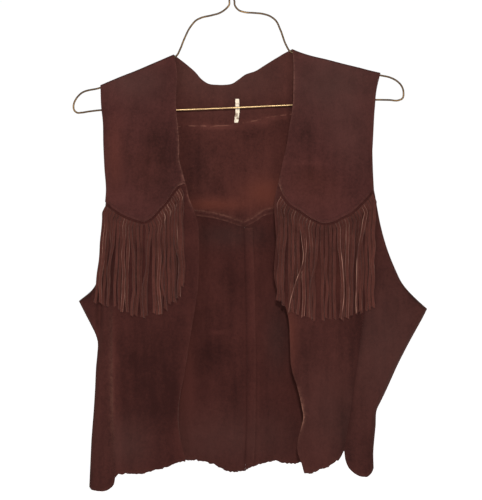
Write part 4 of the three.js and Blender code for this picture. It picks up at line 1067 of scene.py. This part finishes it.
def fringe(name, finish, chance):
    """The cut fringe: a backing strip behind the yoke's edge, and its strands."""
    plan, cut = FRINGES[name], SIDES[name].cut
    start, stop = plan["reach"]
    low = smooth(cut["yoke_low"])[::SIDES[name].outward]
    inner = low[(low[:, 0] > start) & (low[:, 0] < stop)]
    line = np.vstack([[[start, z_at(low, start)]], inner, [[stop, z_at(low, stop)]]])
    ends = smooth(cut["fringe_ends"])
    points, faces, flats, pale, run = [], [], [], [], []

    def add(rings, paleness, flat_sides, root_glint=0.0):
        count, sides = rings.shape[:2]
        for k in range(count):
            share = k / (count - 1)
            glint = root_glint * (share < ROOT_SHARE)
            pale.extend([paleness + (1 - paleness) * glint] * sides)
            run.extend([share] * sides)
        flats.extend([s in flat_sides for s in range(sides)] * (count - 1) + [False, False])
        faces.extend(tube_faces(len(points), count, sides))
        points.extend((rings * MM).reshape(-1, 3).tolist())

    foot = along(line, np.linspace(0, 1, STRIP_STEPS))
    strip = []
    for rise, out in (("top", "near"), ("bottom", "near"), ("bottom", "far"), ("top", "far")):
        z = foot[:, 1] + STRIP[rise]
        strip.append(np.stack([foot[:, 0], in_front(name, foot[:, 0], z, STRIP[out]), z], axis=1))
    # The backing strip is painted lighter (paleness 2.0) where it lies in shade under the yoke's edge.
    add(np.stack(strip, axis=1), 2.0, (0, 1, 2, 3))
    for i in range(plan["count"]):
        glint = chance.uniform(*DRAWN["glint"]) * by_front_edge(i, plan)
        rings = strand(name, i, plan, line, ends, chance)
        add(rings, chance.random() ** 2.2, FLAT_SIDES, glint)

    piece = new_piece(f"fringe_cut_{name}", points, faces, finish)
    for key, values in (("pale", pale), ("run", run)):
        piece.data.attributes.new(key, "FLOAT", "POINT").data.foreach_set("value", values)
    for polygon, is_flat in zip(piece.data.polygons, flats):
        polygon.material_index = 0 if is_flat else 1
    face_out(piece)
    bpy.ops.object.shade_smooth_by_angle(angle=STRAND_ANGLE)
    return piece


# ---------------------------------------------------------------- thread
# A stitch rises from the cloth and dips into it again; its ends are thinner than its middle.
STITCH = {
    "length": 2.7, "pitch": 4.1, "radius": 0.3, "sides": 6, "rings": 7,
    "blunt": 0.12, "rise": 0.34, "dip": 0.16, "thin_end": 0.35,
}
ROW_POINTS = 80


def stitches(name, lines, depth, outward, finish):
    """Rows of single stitches that lie on the cloth and dip into it at both ends."""
    rings, sides = STITCH["rings"], STITCH["sides"]
    swell = np.sin(np.linspace(STITCH["blunt"], math.pi - STITCH["blunt"], rings)) ** 0.5
    radius = STITCH["radius"] * mix(STITCH["thin_end"], 1, swell)
    points, faces = [], []
    for line in lines:
        reach = lengths(line)[-1]
        part = STITCH["length"] / reach / 2
        count = int(reach / STITCH["pitch"])
        for k in range(count):
            middle = (k + 0.5) / count
            x, z = along(line, np.linspace(middle - part, middle + part, rings)).T
            y = depth(x, z) + outward * (STITCH["rise"] * swell - STITCH["dip"])
            heading = np.array([x[-1] - x[0], z[-1] - z[0]])
            heading /= np.linalg.norm(heading)
            faces.extend(tube_faces(len(points), rings, sides))
            for j in range(rings):
                for a in np.arange(sides) * 2 * math.pi / sides:
                    wide, high = radius[j] * math.cos(a), radius[j] * math.sin(a)
                    points.append((
                        (x[j] - heading[1] * wide) * MM, (y[j] + high) * MM,
                        (z[j] + heading[0] * wide) * MM,
                    ))
    piece = new_piece(name, points, faces, (finish,))
    face_out(piece)
    bpy.ops.object.shade_smooth()
    return piece


def stitch_row(kind, line):
    """Where a row of stitches runs: a line without its two ends."""
    total, (start, stop) = lengths(line)[-1], ROW_ENDS[kind]
    return along(line, np.linspace(start / total, 1 - stop / total, ROW_POINTS))


# ---------------------------------------------------------------- hanger
# Where the hook's arc turns into its stem, and the bar's two ends.
STEM = [(7, -50), (0.8, HOOK["stem"] + 3), (0, HOOK["stem"] - 4), (0, HOOK["neck_bottom"])]
BAR = [(78, -223.9), (-72, -230.3)]
ROUTE_PARTS = 10
WIRE_TIP = 0.7  # how thick its cut ends are, as a share


def flat_points(line):
    return [(x, 0.0, z) for x, z in line]


def hanger_route():
    """The wire from the hook's tip round the whole hanger to the turns about its own neck."""
    hook = []
    angle = HOOK["tip_angle"]
    while angle >= HOOK["stem_angle"]:
        a = math.radians(angle)
        hook.append((HOOK["radius"] * math.cos(a),
                     WIRE / 2 - HOOK["radius"] + HOOK["radius"] * math.sin(a)))
        angle -= HOOK["step"]
    wrap, about = [], WIRE + 1.5 * SEAM
    for t in np.arange(HOOK["turn_steps"] + 1) / HOOK["turn_steps"]:
        a = math.pi + 2 * math.pi * HOOK["turns"] * (1 - t)
        height = mix(HOOK["neck_top"], HOOK["neck_bottom"], t)
        wrap.append((about * math.cos(a), about * math.sin(a), height))
    right, left = (
        [*cut["wire_bell"], *((x, z - SHOULDER_BEND) for x, z in cut["shoulder"][1:]),
         *cut["wire_end"]]
        for cut in (RIGHT, LEFT)
    )
    way_back = [*wrap, *flat_points(right)][::-1]
    route = [*flat_points([*hook, *STEM, *left, *BAR]), *way_back]
    return smooth(route, corner=math.pi, parts=ROUTE_PARTS)


def bent_wire(name, route, finish):
    """A round wire along a route, a little thinner at its two cut ends."""
    data = bpy.data.curves.new(name, "CURVE")
    data.dimensions = "3D"
    data.bevel_depth = WIRE / 2 * MM
    data.bevel_resolution = 3
    data.use_fill_caps = True
    spline = data.splines.new("POLY")
    spline.points.add(len(route) - 1)
    for point, co in zip(spline.points, route):
        point.co = (*(co * MM), 1.0)
    for point in (spline.points[0], spline.points[-1]):
        point.radius = WIRE_TIP
    piece = bpy.data.objects.new(name, data)
    bpy.context.scene.collection.objects.link(piece)
    only(piece)
    bpy.ops.object.convert(target="MESH")
    bpy.ops.object.shade_smooth_by_angle(angle=CREASE_ANGLE)
    piece.data.materials.append(finish)
    return piece


# ---------------------------------------------------------------- finishes
class Socket:
    """A shader value that takes part in sums."""

    def __init__(self, paint, socket):
        self.paint, self.socket = paint, socket

    def sum(self, operation, a, b):
        return self.paint.node("ShaderNodeMath", {"operation": operation}, {0: a, 1: b})

    def __add__(self, other):
        return self.sum("ADD", self, other)

    def __radd__(self, other):
        return self.sum("ADD", other, self)

    def __sub__(self, other):
        return self.sum("SUBTRACT", self, other)

    def __rsub__(self, other):
        return self.sum("SUBTRACT", other, self)

    def __mul__(self, other):
        return self.sum("MULTIPLY", self, other)

    def __rmul__(self, other):
        return self.sum("MULTIPLY", other, self)


class Paint:
    """A material, and the one way that its nodes are made."""

    def __init__(self, name, tree=None):
        if tree is None:
            self.material = bpy.data.materials.new(name)
            self.material.use_nodes = True
            tree = self.material.node_tree
        tree.nodes.clear()
        self.tree = tree

    def node(self, kind, settings=None, inputs=None, output=0):
        """A node of one kind: its settings, then its values and links; gives one of its outputs."""
        made = self.tree.nodes.new(kind)
        for key, value in (settings or {}).items():
            if key == "stops":
                self.set_stops(made.color_ramp, value)
            else:
                setattr(made, key, value)
        for key, value in (inputs or {}).items():
            if isinstance(value, Socket):
                self.tree.links.new(value.socket, made.inputs[key])
            else:
                made.inputs[key].default_value = value
        return None if output is None else Socket(self, made.outputs[output])

    @staticmethod
    def set_stops(ramp, stops):
        while len(ramp.elements) < len(stops):
            ramp.elements.new(0.5)
        for element, (place, level) in zip(ramp.elements, stops):
            element.position = place
            element.color = (level, level, level, 1)

    def place(self, scale=(1, 1, 1)):
        """Object coordinates, stretched."""
        here = self.node("ShaderNodeTexCoord", output="Object")
        return self.node("ShaderNodeMapping", None, {"Vector": here, "Scale": scale})

    def noise(self, where, size, detail=2.0, rough=0.5, warp=0.0):
        inputs = {
            "Vector": where, "Scale": size, "Detail": detail, "Roughness": rough,
            "Distortion": warp,
        }
        return self.node("ShaderNodeTexNoise", {"noise_dimensions": "3D"}, inputs, "Fac")

    def bands(self, where, direction, size):
        settings = {"wave_type": "BANDS", "bands_direction": direction, "wave_profile": "SIN"}
        return self.node("ShaderNodeTexWave", settings, {"Vector": where, "Scale": size}, "Fac")

    def ramp(self, value, stops):
        return self.node("ShaderNodeValToRGB", {"stops": stops}, {"Fac": value}, "Color")

    def span(self, value, low, high):
        """How far a value is from low to high, 0 to 1."""
        inputs = {"Value": value, "From Min": low, "From Max": high}
        return self.node("ShaderNodeMapRange", {"clamp": True}, inputs)

    def axis(self, vector, name):
        return self.node("ShaderNodeSeparateXYZ", None, {"Vector": vector}, name)

    def attribute(self, name):
        return self.node("ShaderNodeAttribute", {"attribute_name": name}, None, "Fac")

    def blend(self, a, b, share):
        """Two colours mixed by a share."""
        settings = {"data_type": "RGBA", "clamp_factor": True}
        return self.node("ShaderNodeMix", settings, {0: share, 6: a, 7: b}, 2)

    def bump(self, height, strength, distance, under=None):
        inputs = {"Height": height, "Strength": strength, "Distance": distance}
        if under is not None:
            inputs["Normal"] = under
        return self.node("ShaderNodeBump", None, inputs)

    def finish(self, **sockets):
        inputs = {key.replace("_", " "): value for key, value in sockets.items()}
        shader = self.node("ShaderNodeBsdfPrincipled", None, inputs)
        self.node("ShaderNodeOutputMaterial", None, {"Surface": shader}, None)
        return self.material


def colour(red, green, blue):
    """A colour as it looks on screen, 0 to 255, made linear."""
    def linear(value):
        c = value / 255
        return c / 12.92 if c <= 0.04045 else ((c + 0.055) / 1.055) ** 2.4
    return (linear(red), linear(green), linear(blue), 1.0)


# The grey brown also paints a sheen on the yokes' and the inside's tops.
RUST, GREY_BROWN_AND_SHEEN = colour(78, 38, 27), colour(62, 42, 38)  # what warmth leans the hide to
NAP_SHEEN = (0.55, 0.28, 0.22, 1)
# A painted highlight along a crease across the back yoke's inside, in metres: its height, where it
# starts to rise, over what width and how far; how far it wanders up and down, and half its own width.
CREASE_HIGHLIGHT = {
    "level": -0.2510, "bend": -0.008, "over": 0.08, "rise": 0.0155, "wander": 0.0025, "half": 0.001,
}


def painted_crease_highlight(paint, skin):
    """A fine painted highlight along a crease across the cloth, broken, that rises beyond a bend."""
    wander = paint.noise(skin, 90, 2, 0.5) * (2 * CREASE_HIGHLIGHT["wander"]) - CREASE_HIGHLIGHT["wander"]
    risen = paint.span(paint.axis(skin, "X"), CREASE_HIGHLIGHT["bend"], CREASE_HIGHLIGHT["bend"] + CREASE_HIGHLIGHT["over"])
    off = paint.axis(skin, "Z") - (risen * CREASE_HIGHLIGHT["rise"] + CREASE_HIGHLIGHT["level"]) + wander
    kept = paint.span(paint.noise(skin, 130, 2, 0.6), 0.44, 0.6)
    return paint.span(off * off, CREASE_HIGHLIGHT["half"] ** 2, 0.0) * kept


def suede(name, dark, light, worn_and_lit, with_crease_highlight=False):
    """Napped hide: two drifting tones, brushed streaks, paler worn edges, painted light and shade."""
    paint = Paint(name)
    skin = paint.place()
    drift = paint.noise(skin, 13, 3, 0.55, 0.6)
    clouds = paint.noise(skin, 46, 3, 0.6, 0.3)
    streaks = paint.noise(paint.place((95, 95, 13)), 1.0, 2, 0.5)
    fine = paint.noise(skin, 620, 3, 0.7)
    rough = paint.noise(skin, 300, 3, 0.65)
    # The share of the light colour: the nap's tone, and patches that also paint light and shade.
    share = (
        drift * 0.6 + clouds * 0.5 + streaks * 0.55 + fine * 0.65 + rough * 0.8 - 1.05
        + paint.attribute("tone") * 0.55
    )
    body = paint.blend(dark, light, share)
    # Warmth: rust and grey brown, where the grey brown on the tops is a painted sheen.
    warm = paint.attribute("warm")
    body = paint.blend(body, RUST, warm * (0.3 + clouds * 0.3))
    body = paint.blend(body, GREY_BROWN_AND_SHEEN, warm * (-0.3 - clouds * 0.3))
    # The worn colour: real wear at raw edges, and the painted highlights on a seam.
    body = paint.blend(body, worn_and_lit, paint.attribute("edge") * (rough * 3.4 - 0.9) * 1.2)
    # A painted highlight along the inside's crease, in the worn colour.
    if with_crease_highlight:
        body = paint.blend(body, worn_and_lit, painted_crease_highlight(paint, skin) * 0.4)
    # Painted shade along the seams.
    body = paint.blend(body, dark, paint.attribute("seam") * 0.55)
    soft = paint.bump(clouds, 0.25, 0.0012)
    brushed = paint.bump(rough + streaks * 0.4, 0.35, 0.0005, soft)
    napped = paint.bump(fine, 0.55, 0.00025, brushed)
    return paint.finish(
        Base_Color=body, Roughness=0.96, Normal=napped, Sheen_Weight=0.07,
        Sheen_Roughness=0.45, Sheen_Tint=NAP_SHEEN, Specular_IOR_Level=0.04,
    )


def cut_edge(name, dark, light):
    """The raw edge that the shears leave: paler fibres, rough along the cut."""
    paint = Paint(name)
    skin = paint.place()
    fibres = paint.noise(skin, 900, 2, 0.6)
    drift = paint.noise(skin, 60, 2, 0.5)
    body = paint.blend(dark, light, fibres * 0.9 + drift * 0.7 - 0.3)
    rough = paint.bump(fibres, 0.7, 0.0003)
    return paint.finish(
        Base_Color=body, Roughness=0.97, Normal=rough, Sheen_Weight=0.12, Sheen_Roughness=0.5,
        Sheen_Tint=(0.7, 0.5, 0.4, 1), Specular_IOR_Level=0.1,
    )


def strand_face(name, dark, light):
    """The flat faces of the strands: the hide's nap, a little lighter towards the ends."""
    paint = Paint(name)
    skin = paint.place()
    drift = paint.noise(skin, 60, 2, 0.5)
    fine = paint.noise(skin, 700, 2, 0.65)
    grain = paint.noise(skin, 330, 3, 0.6)
    share = drift * 0.9 + fine * 0.5 + grain * 1.0 + paint.attribute("pale") * 0.1 - 0.9
    body = paint.blend(dark, light, share + paint.attribute("run") * 0.2)
    napped = paint.bump(fine, 0.6, 0.00025)
    return paint.finish(
        Base_Color=body, Roughness=0.95, Normal=napped, Sheen_Weight=0.16, Sheen_Roughness=0.45,
        Sheen_Tint=NAP_SHEEN, Specular_IOR_Level=0.05,
    )


def strand_edge(name, dark, light):
    """The strands' cut edges: pale fibres and painted highlights, bright on some, dull on others."""
    paint = Paint(name)
    skin = paint.place()
    broken = paint.noise(paint.place((90, 90, 34)), 1.0, 2, 0.55)
    fibres = paint.noise(skin, 900, 2, 0.6)
    share = paint.attribute("pale") * 1.3 + broken * 2.8 + fibres * 0.3 - 2.2
    body = paint.blend(dark, light, share)
    rough = paint.bump(fibres, 0.6, 0.00025)
    return paint.finish(
        Base_Color=body, Roughness=0.9, Normal=rough, Sheen_Weight=0.2, Sheen_Roughness=0.5,
        Sheen_Tint=(0.8, 0.6, 0.5, 1), Specular_IOR_Level=0.15,
    )


def gold_wire():
    """Lacquered gold wire: painted highlight on the neck's bar, painted shade and glints elsewhere."""
    paint = Paint("gold_wire")
    skin = paint.place()
    dull = paint.noise(skin, 45, 3, 0.6)
    specks = paint.noise(skin, 500, 2, 0.6)
    bare = paint.ramp(dull * 0.8 + specks * 0.3, [(0.0, 0.0), (0.52, 0.0), (0.72, 0.6), (1.0, 1.0)])
    x, z = paint.axis(skin, "X"), paint.axis(skin, "Z")
    # Where the bar inside the neck gets its painted highlight in bright gold, with bare specks.
    on_bar = paint.span(x, 0.094, 0.086) * paint.span(x, -0.094, -0.086)
    kept = paint.span(z, -0.205, -0.212) * on_bar
    lit_gold = paint.blend(colour(158, 131, 94), colour(112, 86, 58), bare)
    # Painted shade elsewhere: a dark brown wire with painted gold glints.
    dark = paint.blend(colour(66, 52, 38), colour(134, 106, 70), paint.span(dull, 0.5, 0.8))
    body = paint.blend(dark, lit_gold, kept)
    return paint.finish(
        Base_Color=body, Metallic=1.0, Roughness=0.3 + dull * 0.2,
        Normal=paint.bump(specks, 0.03, 0.0001),
    )


def woven_tape():
    """Narrow plain-woven cream tape, a little soiled."""
    paint = Paint("woven_tape")
    skin = paint.place()
    warp, weft = paint.bands(skin, "X", 420.0), paint.bands(skin, "Z", 300.0)
    soil = paint.noise(skin, 170, 3, 0.6)
    stains = paint.ramp(soil, [(0.0, 0.0), (0.52, 0.0), (0.64, 0.8), (1.0, 1.0)])
    body = paint.blend(colour(214, 200, 180), colour(176, 160, 138), warp * 0.35 + weft * 0.35)
    body = paint.blend(body, colour(96, 74, 58), stains)
    threads = paint.bump(warp * 0.5 + weft * 0.5, 0.5, 0.0002)
    return paint.finish(
        Base_Color=body, Roughness=0.85, Normal=threads, Sheen_Weight=0.15,
        Specular_IOR_Level=0.2,
    )


def brown_thread():
    """Thread in the hide's own brown, with its twist."""
    paint = Paint("brown_thread")
    twist = paint.bands(paint.place(), "DIAGONAL", 900.0)
    body = paint.blend(colour(36, 18, 16), colour(56, 31, 27), twist)
    return paint.finish(
        Base_Color=body, Roughness=0.85, Normal=paint.bump(twist, 0.5, 0.0001),
        Specular_IOR_Level=0.08,
    )


RAW = cut_edge("raw_edge", colour(36, 19, 16), colour(66, 40, 33))
# The yokes' cut edges, far paler than the raw edge elsewhere: painted light on rims that face down
# into shade.
RAW_YOKE_PAINTED_LIGHT = cut_edge("raw_edge_yoke_painted_light", colour(84, 48, 41), colour(124, 82, 70))
YOKE = suede("suede_yoke", colour(37, 18, 16), colour(66, 35, 32), colour(122, 84, 72))
FRONT = suede("suede_front", colour(35, 16, 14), colour(60, 31, 27), colour(122, 84, 70))
INSIDE = suede("suede_inside", colour(37, 17, 15), colour(67, 35, 30), colour(112, 74, 62), True)
BACK = suede("suede_back", colour(36, 16, 14), colour(60, 30, 26), colour(108, 70, 60))
STRANDS = strand_face("suede_strands", colour(47, 24, 20), colour(73, 39, 33))
# Strand cut edges: pale fibres with painted highlights.
STRAND_CUT = strand_edge("strand_cut_edge", colour(54, 29, 25), colour(152, 112, 96))
CREAM = woven_tape()
THREAD = brown_thread()

# ---------------------------------------------------------------- the vest
chance = random.Random(7)
yokes = {name: front_yoke(name, (YOKE, RAW_YOKE_PAINTED_LIGHT, YOKE)) for name in SIDES}
fronts = {
    "right": front_lower("right", (BACK, RAW, BACK)),
    "left": front_lower("left", (FRONT, RAW, BACK)),
}
yoke_back = back_yoke((YOKE, RAW, INSIDE))
backs = {name: back_lower(name, (FRONT, RAW, BACK)) for name in SIDES}
fringes = {name: fringe(name, (STRANDS, STRAND_CUT), chance) for name in SIDES}

middle_x, seam_z = SEAM_LINE[SEAM_LOWEST]
band = np.stack([mix(middle_x, SEAM_LINE[:, 0], BAND_SHARE), SEAM_LINE[:, 1]], axis=1)
allowance = inside_strip(
    "turned_allowance", moved(band, 0, 1), moved(band, 0, -ALLOWANCE["height"]),
    ALLOWANCE["turned_steps"], ALLOWANCE["thickness"], (BACK, RAW, BACK), "back")
centre_band = between(CENTRE_LINE, seam_z - ALLOWANCE["height"] - 1, ALLOWANCE["hem"])
pressed = inside_strip(
    "pressed_allowance", moved(centre_band, -0.5, 0), moved(centre_band, ALLOWANCE["width"], 0),
    ALLOWANCE["pressed_steps"], ALLOWANCE["thickness"], (BACK, RAW, BACK), "back")
tape_line = np.array([
    [TAPE["x"] + k * TAPE["slant"] + TAPE["wave"] * math.cos(6 * k), TAPE["z"] + k * TAPE["height"]]
    for k in np.linspace(0.5, -0.5, TAPE["rows"] + 1)])
frayed = TAPE["fray"] * np.array([
    [noise.noise((k / 2.2, 4.0, 1.0)) - (k in (0, TAPE["rows"])), 0.0]
    for k in range(TAPE["rows"] + 1)])
tape = inside_strip(
    "cream_tape", moved(tape_line, -TAPE["width"] / 2, 0) - frayed,
    moved(tape_line, TAPE["width"] / 2, 0) + frayed[::-1],
    TAPE["steps"], TAPE["thickness"], (CREAM, CREAM, CREAM), "tape")
hanger = bent_wire("hanger_wire", hanger_route(), gold_wire())

centre_rows = between(CENTRE_LINE, *CENTRE_STITCHED)
sewn = [
    stitches(f"stitches_yoke_{name}",
             [stitch_row("yoke", moved(smooth(SIDES[name].cut["yoke_low"]), 0, TOPSTITCH))],
             lambda x, z, name=name: yoke_face(name, x, z), -1, THREAD)
    for name in SIDES
]
sewn.append(stitches("stitches_back", [
    stitch_row("seam", moved(SEAM_LINE, 0, TOPSTITCH)),
    stitch_row("centre", moved(centre_rows, -TOPSTITCH, 0)),
    stitch_row("centre", moved(centre_rows, TOPSTITCH, 0)),
], back_face, 1, THREAD))

# ---------------------------------------------------------------- each piece in place of its parts
for piece, slot_name, nodes in [
    (yokes["right"], "suede", ["front_yoke_right"]),
    (yokes["left"], "suede", ["front_yoke_left"]),
    (fronts["right"], "suede", ["front_lower_right"]),
    (fronts["left"], "suede", ["front_lower_left"]),
    (yoke_back, "suede_inside", ["back_yoke"]),
    (backs["right"], "suede", ["back_lower_right"]),
    (backs["left"], "suede", ["back_lower_left"]),
    (allowance, "suede_inside", ["back_seam_allowance"]),
    (pressed, "suede_inside", ["centre_seam_allowance"]),
    (tape, "tape", ["neck_tape"]),
    (fringes["right"], "fringe", ["fringe_right"]),
    (fringes["left"], "fringe", ["fringe_left"]),
    (hanger, "wire", ["hanger_hook", "hanger_neck_wrap", "hanger_shoulder_right",
                      "hanger_shoulder_left", "hanger_bar"]),
]:
    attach(piece, "root")
    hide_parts(*nodes)
for piece in sewn:
    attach(piece, "root")

# ---------------------------------------------------------------- studio
VIEW_HEIGHT = 0.650  # what the frame takes in at the vest's plane
VIEW_CENTRE = (0.0117, -0.413)
VEST_PLANE = -0.008
CAMERA_AWAY = 3.0
SENSOR = 36.0
FLOOR_SIZE, FLOOR_HEIGHT = 60, -1.15
# Each lamp: its name, its place, the width of its square and its power.
LAMPS = [
    ("key", (0.14, -3.3, 0.3), 0.26, 94.0),
    ("fill", (-1.3, -2.4, -0.2), 1.4, 10.0),
    ("behind", (0.4, 2.2, 0.6), 1.8, 22.0),
]


def studio():
    """Camera, floor, lamps and a world that is bright round its horizon, dim above and below."""
    camera = bpy.data.cameras.new("camera")
    camera.sensor_width = SENSOR
    camera.lens = SENSOR * CAMERA_AWAY / VIEW_HEIGHT
    seat = bpy.data.objects.new("camera", camera)
    seat.location = (VIEW_CENTRE[0], VEST_PLANE - CAMERA_AWAY, VIEW_CENTRE[1])
    seat.rotation_euler = (math.pi / 2, 0, 0)
    bpy.context.scene.collection.objects.link(seat)
    bpy.context.scene.camera = seat
    bpy.context.scene.view_settings.view_transform = "Standard"

    paint = Paint("pale_floor")
    grain = paint.noise(paint.place(), 3.0, 2, 0.5)
    tint = paint.blend((0.86, 0.86, 0.86, 1), (0.9, 0.9, 0.9, 1), grain)
    pale = paint.finish(
        Base_Color=tint, Roughness=0.9, Emission_Color=(1, 1, 1, 1), Emission_Strength=0.8)
    bpy.ops.mesh.primitive_plane_add(size=FLOOR_SIZE, location=(0, 0, FLOOR_HEIGHT))
    floor = bpy.context.active_object
    floor.name = "floor"
    floor.data.transform(floor.matrix_world)
    floor.matrix_world.identity()
    floor.data.materials.append(pale)

    for name, place, size, power in LAMPS:
        lamp = bpy.data.lights.new(name, "AREA")
        lamp.shape = "SQUARE"
        lamp.size = size
        lamp.energy = power
        stand = bpy.data.objects.new(name, lamp)
        stand.location = place
        aim = Vector((0, 0, VIEW_CENTRE[1])) - Vector(place)
        stand.rotation_euler = aim.to_track_quat("-Z", "Y").to_euler()
        bpy.context.scene.collection.objects.link(stand)

    world = bpy.data.worlds.new("studio")
    world.use_nodes = True
    bpy.context.scene.world = world
    sky = Paint("studio", world.node_tree)
    facing = sky.node("ShaderNodeTexCoord", output="Generated")
    height = sky.axis(facing, "Z")
    above, below = sky.span(height, 0.16, 0.42), sky.span(height, -0.16, -0.42)
    tint = sky.blend((1, 1, 1, 1), (0.2, 0.2, 0.2, 1), above + below)
    light = sky.node("ShaderNodeBackground", None, {"Color": tint, "Strength": 1.02})
    sky.node("ShaderNodeOutputWorld", None, {"Surface": light}, None)


studio()
